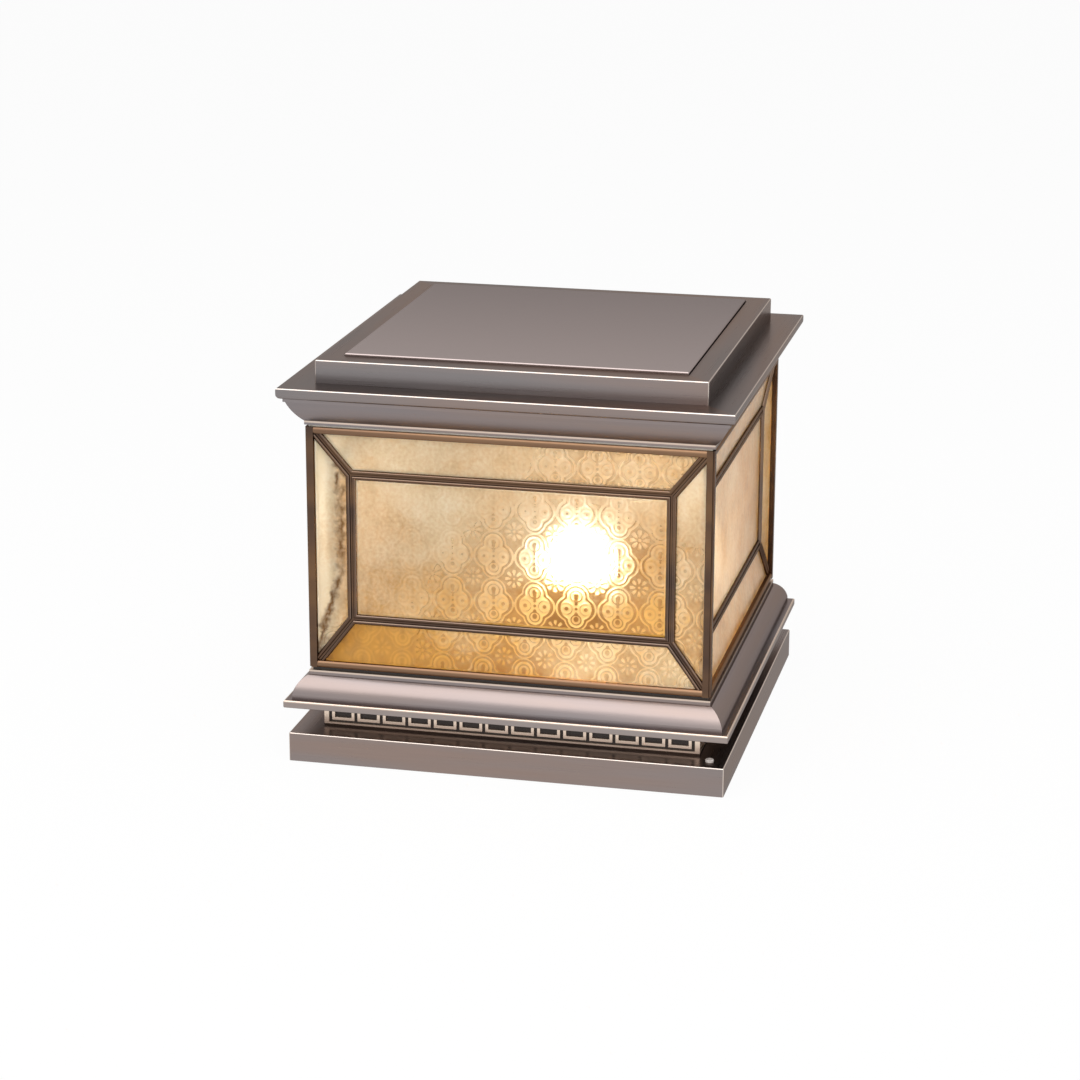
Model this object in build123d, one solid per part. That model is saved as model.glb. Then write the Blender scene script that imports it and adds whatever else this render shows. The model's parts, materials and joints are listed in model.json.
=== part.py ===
from build123d import *
import os

# Solar pillar light: a square lantern for the top of a gate pillar, in bronze sheet and leaded amber glass.
# Millimetres. X runs to the right, Y to the back, Z up. The tray stands on Z = 0, centred on the origin.

# Shared sizes
SHEET = 1.2                     # wall of every folded piece
EDGE_ROUND = 1.0                # rounding of the folded edges
FIT = 0.3                       # gap where one piece drops into another
MITRE_GAP = 0.1                 # gap between neighbours at a mitre

# Widths: the cage is the master, and the rest project from its faces or are set back from them
CAGE_WIDTH = 276.0
TRAY_PROJECTION = 12.0
NECK_SETBACK = 9.0
LIP_PROJECTION = 14.6
STEP_PROJECTION = 9.9
OVOLO_TOP_PROJECTION = 1.2
FILLET_PROJECTION = 0.2
FLOOR_SETBACK = 2.0
CORNICE_FILLET_PROJECTION = 0.3
CORNICE_OVOLO_PROJECTION = 10.3
CORNICE_CAP_PROJECTION = 11.4
SLAB_PROJECTION = 15.1
RISER_SETBACK = 5.9
PANEL_MARGIN = 16.1             # from the riser's face to the panel's edge

# Heights, from the ground up
TRAY_HEIGHT = 20.2
NECK_HEIGHT = 18.5
LIP_HEIGHT = 5.3
STEP_HEIGHT = 2.8
OVOLO_HEIGHT = 12.2
FILLET_HEIGHT = 3.5
FLOOR_THICKNESS = 2.0
CAGE_HEIGHT = 168.5
LINER_THICKNESS = 1.5
CORNICE_FILLET_HEIGHT = 2.7
CORNICE_OVOLO_HEIGHT = 14.8
CORNICE_CAP_HEIGHT = 2.2
SLAB_HEIGHT = 7.6
RISER_HEIGHT = 15.6
PANEL_PROUD = 1.7

# Folded flanges
TRAY_RETURN = 9.0               # stiffening return along the tray's lower edge
NECK_FLANGE = 14.0
CORNICE_FLANGE = 26.0
SLAB_WINDOW_MARGIN = 31.0       # from the slab's edge to its window
RISER_FLANGE = 8.0
BULLNOSE = 3.5                  # rounding of the slab's lower edge
OVOLO_BULGE = 1.6               # how far the lower ovolo swells past a straight slope
CORNICE_BULGE = 1.0

# Key-fret band
BAND_THICKNESS = 1.5
KEY_PITCH = 18.0
KEY_MARGIN = 2.5                # least plain strip past the last key
KEY_GAP = 2.2                   # open slit between two keys
KEY_BAR = 2.0                   # bar of a key
BAND_FOOT = 2.9                 # rail along the tray
FOOT_SLIT = 1.7                 # open slit above that rail
KEY_SLOT_HEIGHT = 7.2

# Cage
POST_FACE = 5.5
FRAME_DEPTH = 3.5               # front to back of posts and rails
POST_GROOVE = 1.3
BOTTOM_RAIL_FACE = 4.4
TOP_RAIL_FACE = 4.7
RAIL_LEDGE = 8.5                # ledge that carries the glass
RAIL_LEDGE_THICKNESS = 1.5
RAIL_CROWN = 1.0                # swell of a rail's rounded face

# Leaded glass
GLASS = 3.0
GLASS_PLAY = 0.2                # from the frame's back to the glass
GLASS_RECESS = 4.2              # how far the centre pane is set back
BORDER_SIDE = 29.0              # cage face to the inner came's centre line
BORDER_BOTTOM = 34.0
BORDER_TOP = 33.2
GLASS_EDGE_COVER = 1.4          # glass hidden behind a post
CAME_WIDTH = 6.8
CAME_CORE = 1.4
CAME_FLANGE = 0.9
CAME_BEAD_RISE = 1.2            # swell of the bead along each pane
CAME_PLAY = 0.1

# Fixings to the pillar
FIXING_INSET = 11.5             # from the tray's two edges
FIXING_BORE = 3.5
SLEEVE_DIAMETER = 5.6
SLEEVE_RISE = 1.8
SLEEVE_SHANK_DIAMETER = 4.8
SLEEVE_SHANK_LENGTH = 4.5
SLEEVE_PLAY = 0.1

# Screws
SCREW_DIAMETER = 3.8
SCREW_HOLE_DIAMETER = 4.2
SCREW_HEAD_DIAMETER = 7.2
SCREW_HEAD_HEIGHT = 2.2
SCREW_TIP = 2.0                 # thread that stands past the last sheet
NECK_SCREW_INSET = 8.0
LINER_SCREW_INSET = 20.0

# Lamp
LAMP_X = 19.0
BULB_RADIUS = 25.0
BULB_WALL = 1.2
BULB_CENTRE_HEIGHT = 43.5       # above the cage floor
BULB_SEAT_DROP = 11.0           # from the globe's centre to the top of the bulb's body
BULB_BODY_HEIGHT = 25.0
CAP_RADIUS = 13.2
CAP_HEIGHT = 25.0
CAP_TIP_RADIUS = 4.5
CAP_TIP_HEIGHT = 3.0
LED_BOARD_RADIUS = 18.0
LED_BOARD_THICKNESS = 1.6
LED_SIDE = 3.5
LED_RISE = 1.0
LED_COUNT = 8
LED_CIRCLE = 12.0
HOLDER_WALL = 6.0
HOLDER_FLANGE = 6.0
HOLDER_FLANGE_THICKNESS = 3.0
HOLDER_BASE = 6.0
RING_WIDTH = 5.0
RING_HEIGHT = 4.0
TERMINAL_LENGTH = 8.0
TERMINAL_WIDTH = 16.0
TERMINAL_HEIGHT = 12.0

# Connector between roof and base
PLUG_SIDE_INSET = 56.0          # from the cage's left face
PLUG_INSET = 30.0               # from the cage's back face
PLUG_SIDE = 8.0
PLUG_LENGTH = 12.0
PLUG_FLANGE_SIDE = 12.0
PLUG_FLANGE_THICKNESS = 1.2
PLUG_PIN_SIDE = 5.0
SOCKET_SIDE = 16.0
SOCKET_HEIGHT = 18.0
SOCKET_EAR = 1.5
LEAD_DIAMETER = 5.0
LEAD_DROP = 18.0                # how far the lamp lead runs below the cage floor
LEAD_HOLE_PLAY = 0.8
LEAD_TURN_X = -42.0
LEAD_BEND = 14.0

# Solar panel
PANEL_GLASS = 3.2
PANEL_CHAMFER = 0.6
PANEL_GAP = 0.6                 # dark line round the panel
PANEL_LEDGE = 10.0
GASKET_WIDTH = 7.5
GASKET_THICKNESS = 1.3
CELL_THICKNESS = 0.5
CELL_COLUMNS = 6
CELL_ROWS = 4
CELL_GAP = 1.5
BACKSHEET_THICKNESS = 0.5
BACKSHEET_PLAY = 0.5

# Roof electronics
BOARD_SIDE_INSET = 68.0         # from the cage's left face to the board's middle
BOARD_INSET = 51.0              # from the cage's back face to the board's middle
BOARD_LENGTH = 70.0
BOARD_WIDTH = 48.0
BOARD_THICKNESS = 1.6
BOARD_STANDOFF = 5.0
STANDOFF_RADIUS = 2.5
STANDOFF_INSET = 4.0
TERMINAL_BLOCK = 8.0
JUNCTION_LENGTH = 60.0
JUNCTION_WIDTH = 30.0
JUNCTION_HEIGHT = 12.0
JUNCTION_ROUND = 2.0
BATTERY_RADIUS = 9.2
BATTERY_LENGTH = 65.3
BATTERY_PLAY = 0.3
BATTERY_SPACING = 1.0           # wall between the two troughs
CRADLE_RIM = 2.5
CRADLE_HEIGHT = 13.0
BATTERY_SIDE_INSET = 88.0       # from the cage's right face
BATTERY_INSET = 56.0
SWITCH_SIDE_INSET = 86.0        # from the cage's left face
SWITCH_INSET = 52.0
SWITCH_BARREL_RADIUS = 6.0
SWITCH_BEZEL_RADIUS = 8.0
SWITCH_BEZEL_THICKNESS = 2.5
BUTTON_RADIUS = 4.0
BUTTON_PROUD = 4.5
BUTTON_TRAVEL = 2.5
BUTTON_STEM = 2.0               # length of button inside the bezel's mouth at rest
BUTTON_PLAY = 0.3
BUTTON_CHAMFER = 0.8

# Locating tabs under the roof
TAB_LENGTH = 18.0
TAB_DROP = 9.0
TAB_PLAY = 0.8

# Levels
tray_top = TRAY_HEIGHT
lip_bottom = tray_top + NECK_HEIGHT
lip_top = lip_bottom + LIP_HEIGHT
ovolo_bottom = lip_top + STEP_HEIGHT
ovolo_top = ovolo_bottom + OVOLO_HEIGHT
floor_bottom = ovolo_top + FILLET_HEIGHT
floor_top = floor_bottom + FLOOR_THICKNESS
cage_top = floor_top + CAGE_HEIGHT
cornice_bottom = cage_top + LINER_THICKNESS
cornice_ovolo_bottom = cornice_bottom + CORNICE_FILLET_HEIGHT
cornice_ovolo_top = cornice_ovolo_bottom + CORNICE_OVOLO_HEIGHT
slab_bottom = cornice_ovolo_top + CORNICE_CAP_HEIGHT
slab_top = slab_bottom + SLAB_HEIGHT
riser_top = slab_top + RISER_HEIGHT
panel_top = riser_top + PANEL_PROUD

# Half widths
cage = CAGE_WIDTH / 2
tray = cage + TRAY_PROJECTION
neck = cage - NECK_SETBACK
floor_half = cage - FLOOR_SETBACK
slab = cage + SLAB_PROJECTION
slab_window = slab - SLAB_WINDOW_MARGIN
riser = cage - RISER_SETBACK
panel = riser - PANEL_MARGIN

# Glazing lines of one face: u runs along the face, depth is the distance from the lantern's middle
frame_back = cage - FRAME_DEPTH
glass_front = frame_back - GLASS_PLAY
centre_front = glass_front - GLASS_RECESS
opening_u = cage - POST_FACE
opening_bottom = floor_top + BOTTOM_RAIL_FACE
opening_top = cage_top - TOP_RAIL_FACE
inner_u = cage - BORDER_SIDE
inner_bottom = floor_top + BORDER_BOTTOM
inner_top = cage_top - BORDER_TOP
edge_u = opening_u + GLASS_EDGE_COVER
edge_bottom = floor_top + RAIL_LEDGE_THICKNESS + FIT
edge_top = cage_top - RAIL_LEDGE_THICKNESS - FIT
ledge_inner = frame_back - RAIL_LEDGE

SIDES = {"front": 0, "right": 90, "back": 180, "left": 270}
CORNERS = {"front_right": 0, "back_right": 90, "back_left": 180, "front_left": 270}
SECTION = Plane(origin=(0, 0, 0), x_dir=(0, -1, 0), z_dir=(-1, 0, 0))  # depth across, height up
SPAN = 2 * slab                 # longer than any side


def block(x0, x1, y0, y1, z0, z1):
    """A box between two corners."""
    return Pos((x0 + x1) / 2, (y0 + y1) / 2, (z0 + z1) / 2) * Box(abs(x1 - x0), abs(y1 - y0), abs(z1 - z0))


def square(half, z0, z1):
    """A square plate centred on the lantern's axis."""
    return block(-half, half, -half, half, z0, z1)


def square_ring(outer, inner, z0, z1):
    """A square plate with a square window."""
    return square(outer, z0, z1) - square(inner, z0, z1)


def rod(x, y, z0, z1, radius):
    """An upright cylinder."""
    return Pos(x, y, (z0 + z1) / 2) * Cylinder(radius, z1 - z0)


def mitre(clear):
    """The front quarter of the plan, cut back from both diagonals."""
    outline = Polyline((0, -clear), (SPAN, -SPAN - clear), (-SPAN, -SPAN - clear), close=True)
    return extrude(make_face(outline), amount=2 * panel_top)


def front_length(section, half_length, clear=MITRE_GAP / 2):
    """A length of moulding on the front face, mitred at both ends."""
    bar = extrude(SECTION * section, amount=half_length, both=True)
    return bar & mitre(clear)


def four_sides(name, solid, places=SIDES):
    """The same piece on each of the four faces or corners, as separate nodes."""
    return {f"{name}_{place}": Rot(0, 0, angle) * solid for place, angle in places.items()}


def four_solids(solid):
    """The same piece on each of the four faces, as one group."""
    return Compound(children=[Rot(0, 0, angle) * solid for angle in SIDES.values()])


def sheet_section(outline, back, z0, z1):
    """The wall of a folded moulding: its outline hollowed by the sheet and open at the back."""
    hollow = offset(outline, amount=-SHEET, kind=Kind.INTERSECTION)
    mouth = Pos(back + SHEET, (z0 + z1) / 2) * Rectangle(4 * SHEET, z1 - z0 - 2 * SHEET)
    return outline - hollow - mouth


def bulged(start, end, bulge):
    """An arc from start to end that swells to the outside of its chord."""
    chord = Vector(*end) - Vector(*start)
    middle = Vector(*start) + chord / 2
    outward = Vector(chord.Y, -chord.X).normalized()
    return ThreePointArc(start, middle + outward * bulge, end)


def round_folds(solid):
    """Rounds a pan's four upright edges and the edges of its top."""
    solid = fillet(solid.edges().filter_by(Axis.Z), EDGE_ROUND)
    return fillet(solid.faces().filter_by(Plane.XY).sort_by(Axis.Z)[-1].edges(), EDGE_ROUND)


# Base tray with its fixing sleeves
fixing = tray - FIXING_INSET
fixing_points = [(fixing, -fixing), (-fixing, fixing)]
neck_screw = neck - NECK_SCREW_INSET
neck_screw_points = [(x, y) for x in (-neck_screw, neck_screw) for y in (-neck_screw, neck_screw)]


def make_base_tray():
    pan = round_folds(square(tray, 0, tray_top))
    pan -= square(tray - SHEET, SHEET, tray_top - SHEET)
    pan -= square(tray - TRAY_RETURN, 0, SHEET)
    for x, y in fixing_points:
        pan -= rod(x, y, 0, tray_top, SLEEVE_SHANK_DIAMETER / 2 + SLEEVE_PLAY)
    for x, y in neck_screw_points:
        pan -= rod(x, y, tray_top - 2 * SHEET, tray_top, SCREW_HOLE_DIAMETER / 2)
    return pan


def make_fixing_sleeve(x, y):
    flange = rod(x, y, tray_top, tray_top + SLEEVE_RISE, SLEEVE_DIAMETER / 2)
    flange = chamfer(flange.edges().sort_by(Axis.Z)[-1], SLEEVE_RISE / 4)
    shank = rod(x, y, tray_top - SLEEVE_SHANK_LENGTH, tray_top, SLEEVE_SHANK_DIAMETER / 2)
    bore = rod(x, y, tray_top - SLEEVE_SHANK_LENGTH, tray_top + SLEEVE_RISE, FIXING_BORE / 2)
    return flange + shank - bore


# Neck box and its pierced key-fret bands
def make_neck_box():
    neck_box = square_ring(neck, neck - SHEET, tray_top, floor_bottom)
    neck_box += square_ring(neck, neck - NECK_FLANGE, tray_top, tray_top + SHEET)
    neck_box += square_ring(neck, neck - NECK_FLANGE, floor_bottom - SHEET, floor_bottom)
    for x, y in neck_screw_points:
        neck_box -= rod(x, y, tray_top, floor_bottom, SCREW_HOLE_DIAMETER / 2)
    return neck_box


def make_fret_band():
    """A strip of hanging keys: open boxes, parted by slits from each other and from the foot rail."""
    outer = neck + BAND_THICKNESS
    slit_bottom = tray_top + BAND_FOOT
    slit_top = slit_bottom + FOOT_SLIT
    slot_bottom = slit_top + KEY_BAR
    slot_top = slot_bottom + KEY_SLOT_HEIGHT
    key_count = int(2 * (neck - KEY_MARGIN) // KEY_PITCH)
    run = key_count * KEY_PITCH
    strip = Pos(0, (tray_top + lip_bottom) / 2) * Rectangle(2 * outer, NECK_HEIGHT)
    openings = [Pos(0, (slit_bottom + slit_top) / 2) * Rectangle(run + KEY_GAP, FOOT_SLIT)]
    for i in range(key_count + 1):
        x = i * KEY_PITCH - run / 2
        openings.append(Pos(x, (slit_bottom + slot_top) / 2) * Rectangle(KEY_GAP, slot_top - slit_bottom))
    for i in range(key_count):
        x = (i + 0.5) * KEY_PITCH - run / 2
        slot_width = KEY_PITCH - KEY_GAP - 2 * KEY_BAR
        openings.append(Pos(x, (slot_bottom + slot_top) / 2) * Rectangle(slot_width, KEY_SLOT_HEIGHT))
    band = extrude(Plane.XZ.offset(neck) * (strip - openings), amount=BAND_THICKNESS)
    return band & mitre(MITRE_GAP / 2)


# Lower moulding: lip, step, ovolo and fillet in one folded length
def make_lower_moulding():
    back = neck + FIT
    lip = cage + LIP_PROJECTION
    step = cage + STEP_PROJECTION
    crown = cage + OVOLO_TOP_PROJECTION
    fillet_face = cage + FILLET_PROJECTION
    edge = Polyline(
        (crown, ovolo_top), (fillet_face, ovolo_top), (fillet_face, floor_bottom), (back, floor_bottom),
        (back, lip_bottom), (lip, lip_bottom), (lip, lip_top), (step, lip_top), (step, ovolo_bottom),
    )
    outline = make_face(edge + bulged((step, ovolo_bottom), (crown, ovolo_top), OVOLO_BULGE))
    lip_corners = outline.vertices().filter_by(lambda v: v.X > lip - SHEET)
    outline = fillet(lip_corners, EDGE_ROUND)
    return front_length(sheet_section(outline, back, lip_bottom, floor_bottom), lip)


# Cage: floor, posts, rails
plug_x = PLUG_SIDE_INSET - cage
lead_y = cage - PLUG_INSET
holder_bore = CAP_RADIUS + FIT
holder_radius = holder_bore + HOLDER_WALL


def make_cage_floor():
    plate = square(floor_half, floor_bottom, floor_top)
    plate -= rod(LAMP_X, 0, floor_bottom, floor_top, holder_radius + FIT)
    plate -= rod(plug_x, lead_y, floor_bottom, floor_top, LEAD_DIAMETER / 2 + LEAD_HOLE_PLAY)
    for x, y in neck_screw_points:
        plate -= rod(x, y, floor_bottom, floor_top, SCREW_HOLE_DIAMETER / 2)
    return plate


def make_corner_post():
    """An angle at the front right corner, with a groove along its outer edge."""
    angle = block(opening_u, cage, -cage, -opening_u, floor_top, cage_top)
    angle -= block(opening_u, frame_back, -frame_back, -opening_u, floor_top, cage_top)
    return angle - block(cage - POST_GROOVE, cage, -cage, POST_GROOVE - cage, floor_top, cage_top)


def make_rail(outer_z, face_z, ledge_z):
    """A rail with a rounded face and a ledge for the glass, from its outer level to its inner ones."""
    crown = cage - RAIL_CROWN
    edge = Polyline(
        (crown, face_z), (frame_back, face_z), (frame_back, ledge_z), (ledge_inner, ledge_z),
        (ledge_inner, outer_z), (crown, outer_z),
    )
    face = ThreePointArc((crown, outer_z), (cage, (outer_z + face_z) / 2), (crown, face_z))
    return front_length(make_face(edge + face), opening_u)


# Leaded glass of one face
def prism(points, grow):
    """A pane from its corners (u, z, depth), thickened inwards, with room added all round."""
    corners = [Vector(u, -depth - grow, z) for u, z, depth in points]
    face = Face(Wire.make_polygon(corners, close=True))
    return extrude(face, amount=GLASS + 2 * grow, dir=(0, 1, 0))


def border_corner(z_inner, z_edge):
    """The mitre line from an inner corner to the glass's outer corner, as a direction in (u, z)."""
    return Vector(edge_u - inner_u, z_edge - z_inner).normalized()


def make_centre_pane(grow=0.0):
    inset = CAME_CORE / 2 - grow
    y_front = -centre_front - grow
    return block(inset - inner_u, inner_u - inset, y_front, y_front + GLASS + 2 * grow,
                 inner_bottom + inset, inner_top - inset)


def level_corners(z_inner, z_edge, grow=0.0):
    """Corners (u, z, depth) of the border pane above or below the centre pane."""
    along = border_corner(z_inner, z_edge)
    up = 1 if z_edge > z_inner else -1
    gap = CAME_CORE / 2 - grow
    start = Vector(inner_u - gap * abs(along.Y), z_inner + up * gap * along.X)
    inner_line, edge_line = z_inner + up * gap, z_edge + up * grow
    points = []
    for z, sign in ((inner_line, 1), (edge_line, 1), (edge_line, -1), (inner_line, -1)):
        u = start.X + (z - start.Y) * along.X / along.Y
        depth = centre_front + GLASS_RECESS * (z - z_inner) / (z_edge - z_inner)
        points.append((sign * u, z, depth))
    return points


def upright_corners(sign, grow=0.0):
    """Corners (u, z, depth) of the border pane beside the centre pane."""
    gap = CAME_CORE / 2 - grow
    points = []
    for z_inner, z_edge, order in ((inner_top, edge_top, (0, 1)), (inner_bottom, edge_bottom, (1, 0))):
        along = border_corner(z_inner, z_edge)
        up = 1 if z_edge > z_inner else -1
        start = Vector(inner_u + gap * abs(along.Y), z_inner - up * gap * along.X)
        for which in order:
            u = (inner_u + gap, edge_u + grow)[which]
            z = start.Y + (u - start.X) * along.Y / along.X
            depth = centre_front + GLASS_RECESS * (u - inner_u) / (edge_u - inner_u)
            points.append((sign * u, z, depth))
    return points


def border_corners(grow=0.0):
    """Corners of the four border panes of a face: an inner one, the two outer ones, the other inner one."""
    return [
        level_corners(inner_top, edge_top, grow),
        level_corners(inner_bottom, edge_bottom, grow),
        upright_corners(-1, grow),
        upright_corners(1, grow),
    ]


def make_border_panes(grow=0.0):
    """The four border panes of a face, before the edges beside the posts are mitred."""
    return [prism(points, grow) for points in border_corners(grow)]


def came_plane(start, end):
    """A plane at the start of a came, looking along it, with its second axis facing out of the lantern."""
    along = (end - start).normalized()
    return Plane(origin=start, x_dir=Vector(0, -1, 0).cross(along), z_dir=along)


def bead_section():
    """A half-round bead on its flange, from a pane's edge inwards."""
    width = (CAME_WIDTH - CAME_CORE) / 2
    dome = ThreePointArc((0, CAME_FLANGE), (width / 2, CAME_FLANGE + CAME_BEAD_RISE), (width, CAME_FLANGE))
    root = Polyline((width, CAME_FLANGE), (width, 0), (0, 0), (0, CAME_FLANGE))
    return make_face(dome + root)


def make_came_bead(points):
    """A bead along a pane's edge, mitred at the corners. Seen from outside, its path turns anticlockwise."""
    along = (points[1] - points[0]).normalized()
    facing = along.cross(points[2] - points[1]).normalized()
    if facing.Y > 0:
        return make_came_bead(points[::-1])
    start = Plane(origin=points[0], x_dir=facing.cross(along), z_dir=along)
    return sweep(start * bead_section(), path=Polyline(*points), transition=Transition.RIGHT)


def make_came_lattice():
    """The inner rectangle and its four mitre bars, grooved for the panes, with a bead along every pane."""
    behind = GLASS + CAME_FLANGE
    flat = Pos(0, (CAME_FLANGE - behind) / 2) * Rectangle(CAME_WIDTH, CAME_FLANGE + behind)
    half = CAME_WIDTH / 2
    y0, y1 = -centre_front - CAME_FLANGE, behind - centre_front
    lattice = block(-inner_u - half, inner_u + half, y0, y1, inner_bottom - half, inner_top + half)
    lattice -= block(half - inner_u, inner_u - half, y0, y1, inner_bottom + half, inner_top - half)
    for sign in (-1, 1):
        for z_inner, z_edge in ((inner_bottom, edge_bottom), (inner_top, edge_top)):
            corner = Vector(sign * inner_u, -centre_front, z_inner)
            far = Vector(sign * edge_u, -glass_front, z_edge)
            lattice += extrude(came_plane(corner, far) * flat, amount=(far - corner).length)
    u, low, high = inner_u - CAME_CORE / 2, inner_bottom + CAME_CORE / 2, inner_top - CAME_CORE / 2
    loop = [(0, low), (u, low), (u, high), (-u, high), (-u, low), (0, low)]
    lattice += make_came_bead([Vector(x, -centre_front, z) for x, z in loop])
    for corners in border_corners():
        lattice += make_came_bead([Vector(x, -depth, z) for x, z, depth in corners[2:] + corners[:2]])
    for pane in [make_centre_pane(CAME_PLAY)] + make_border_panes(CAME_PLAY):
        lattice -= pane
    opening = block(-opening_u, opening_u, -cage, -inner_u, opening_bottom, opening_top)
    return lattice & opening & mitre(FIT)


# Lamp: holder clamped in the floor, bulb standing in it
bulb_centre = floor_top + BULB_CENTRE_HEIGHT
bulb_seat = bulb_centre - BULB_SEAT_DROP
cap_top = bulb_seat - BULB_BODY_HEIGHT
cap_bottom = cap_top - CAP_HEIGHT
holder_bottom = cap_bottom - CAP_TIP_HEIGHT - HOLDER_BASE
terminal_face = LAMP_X - holder_radius - TERMINAL_LENGTH
lead_level = floor_bottom - LEAD_DROP


def make_lamp_holder():
    body = rod(LAMP_X, 0, holder_bottom, cap_top, holder_radius)
    body += rod(LAMP_X, 0, floor_top, floor_top + HOLDER_FLANGE_THICKNESS, holder_radius + HOLDER_FLANGE)
    body += block(terminal_face, LAMP_X, -TERMINAL_WIDTH / 2, TERMINAL_WIDTH / 2,
                  lead_level - TERMINAL_HEIGHT / 2, lead_level + TERMINAL_HEIGHT / 2)
    return body - rod(LAMP_X, 0, cap_bottom - CAP_TIP_HEIGHT, cap_top, holder_bore)


def make_holder_ring():
    bore = holder_radius + FIT
    ring = rod(LAMP_X, 0, floor_bottom - RING_HEIGHT, floor_bottom, bore + RING_WIDTH)
    return ring - rod(LAMP_X, 0, floor_bottom - RING_HEIGHT, floor_bottom, bore)


def make_bulb_cap():
    shell = rod(LAMP_X, 0, cap_bottom, cap_top, CAP_RADIUS)
    return shell + rod(LAMP_X, 0, cap_bottom - CAP_TIP_HEIGHT, cap_bottom, CAP_TIP_RADIUS)


def make_bulb_body():
    """The bulb's neck, flaring from the cap to the globe."""
    mouth = (BULB_RADIUS ** 2 - BULB_SEAT_DROP ** 2) ** 0.5
    flare = Line((mouth, bulb_seat), (CAP_RADIUS, cap_top))
    rest = Polyline((CAP_RADIUS, cap_top), (0, cap_top), (0, bulb_seat), (mouth, bulb_seat))
    return Pos(LAMP_X, 0) * revolve(Plane.XZ * make_face(flare + rest), axis=Axis.Z)


def make_bulb_globe():
    ball = Sphere(BULB_RADIUS) - Sphere(BULB_RADIUS - BULB_WALL)
    ball = Pos(LAMP_X, 0, bulb_centre) * ball
    return ball - rod(LAMP_X, 0, bulb_centre - 2 * BULB_RADIUS, bulb_seat, 2 * BULB_RADIUS)


def make_led_board():
    top = bulb_seat + LED_BOARD_THICKNESS
    board = rod(LAMP_X, 0, bulb_seat, top, LED_BOARD_RADIUS)
    for place in PolarLocations(LED_CIRCLE, LED_COUNT):
        board += Pos(LAMP_X, 0, top + LED_RISE / 2) * place * Box(LED_SIDE, LED_SIDE, LED_RISE)
    return board


# Connector: the roof's plug drops into the base's socket, and the lamp lead runs from there to the holder
socket_top = cage_top - RAIL_LEDGE_THICKNESS
socket_bottom = socket_top - SOCKET_HEIGHT
plug_tip = cage_top - PLUG_FLANGE_THICKNESS - PLUG_LENGTH


def make_base_socket():
    half = SOCKET_SIDE / 2
    cavity = PLUG_SIDE / 2 + FIT
    body = block(plug_x - half, plug_x + half, lead_y - half, lead_y + half, socket_bottom, socket_top)
    body += block(plug_x - half, plug_x + half, lead_y, (ledge_inner + glass_front - GLASS) / 2,
                  socket_top - SOCKET_EAR, socket_top)
    return body - block(plug_x - cavity, plug_x + cavity, lead_y - cavity, lead_y + cavity,
                        plug_tip - FIT, socket_top)


def make_roof_plug():
    wide = PLUG_FLANGE_SIDE / 2
    half = PLUG_SIDE / 2
    pin = PLUG_PIN_SIDE / 2
    flange_bottom = cage_top - PLUG_FLANGE_THICKNESS
    body = block(plug_x - wide, plug_x + wide, lead_y - wide, lead_y + wide, flange_bottom, cage_top)
    body += block(plug_x - half, plug_x + half, lead_y - half, lead_y + half, plug_tip, flange_bottom)
    return body + block(plug_x - pin, plug_x + pin, lead_y - pin, lead_y + pin, cage_top, board_bottom)


def make_lamp_lead():
    """The two-core lead: down from the socket, through the floor, and across to the holder's terminals."""
    route = [
        (plug_x, lead_y, socket_bottom),
        (plug_x, lead_y, lead_level),
        (LEAD_TURN_X, 0, lead_level),
        (terminal_face, 0, lead_level),
    ]
    path = FilletPolyline(*route, radius=LEAD_BEND)
    lead = sweep(Plane(origin=route[0], z_dir=(0, 0, -1)) * Circle(LEAD_DIAMETER / 2), path=path)
    share = lead.volume / (path.length * Circle(LEAD_DIAMETER / 2).area)
    print(f"lamp lead {path.length:.1f} mm, bends of {LEAD_BEND} mm, volume share {share:.4f}")
    return lead


# Roof: mitred cornice, slab, riser
def make_cornice():
    back = cage - CORNICE_FLANGE
    fillet_face = cage + CORNICE_FILLET_PROJECTION
    brow = cage + CORNICE_OVOLO_PROJECTION
    cap = cage + CORNICE_CAP_PROJECTION
    edge = Polyline(
        (brow, cornice_ovolo_top), (cap, cornice_ovolo_top), (cap, slab_bottom), (back, slab_bottom),
        (back, cornice_bottom), (fillet_face, cornice_bottom), (fillet_face, cornice_ovolo_bottom),
    )
    swell = bulged((fillet_face, cornice_ovolo_bottom), (brow, cornice_ovolo_top), CORNICE_BULGE)
    outline = make_face(edge + swell)
    moulding = front_length(sheet_section(outline, back, cornice_bottom, slab_bottom), cap)
    moulding -= square(slab_window, slab_bottom - 2 * SHEET, slab_bottom)
    for x, y in liner_screw_points:
        moulding -= rod(x, y, cornice_bottom, cornice_bottom + 2 * SHEET, SCREW_HOLE_DIAMETER / 2)
    return moulding


def make_roof_slab():
    plate = square(slab, slab_bottom, slab_top)
    plate = fillet(plate.faces().sort_by(Axis.Z)[0].edges(), BULLNOSE)
    plate = fillet(plate.faces().sort_by(Axis.Z)[-1].edges(), EDGE_ROUND)
    hollow = square(slab - SHEET, slab_bottom + SHEET, slab_top - SHEET)
    hollow = fillet(hollow.faces().sort_by(Axis.Z)[0].edges(), BULLNOSE - SHEET)
    return plate - hollow - square(slab_window, slab_bottom, slab_top)


panel_bottom = panel_top - PANEL_GLASS
ledge_top = panel_bottom - GASKET_THICKNESS
panel_window = panel + PANEL_GAP
ledge_window = panel - PANEL_LEDGE


def make_roof_riser():
    """A square cap with a joggled ledge round its window, where the panel sits on its gasket."""
    cap = round_folds(square(riser, slab_top, riser_top))
    cap -= square(riser - SHEET, slab_top, riser_top - SHEET)
    cap += square_ring(riser - SHEET / 2, riser - RISER_FLANGE, slab_top, slab_top + SHEET)
    cap += square_ring(panel_window + SHEET, panel_window, ledge_top - SHEET, riser_top - SHEET)
    cap -= square(panel_window, riser_top - 2 * SHEET, riser_top)
    return cap + square_ring(panel_window + SHEET, ledge_window, ledge_top - SHEET, ledge_top)


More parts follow.
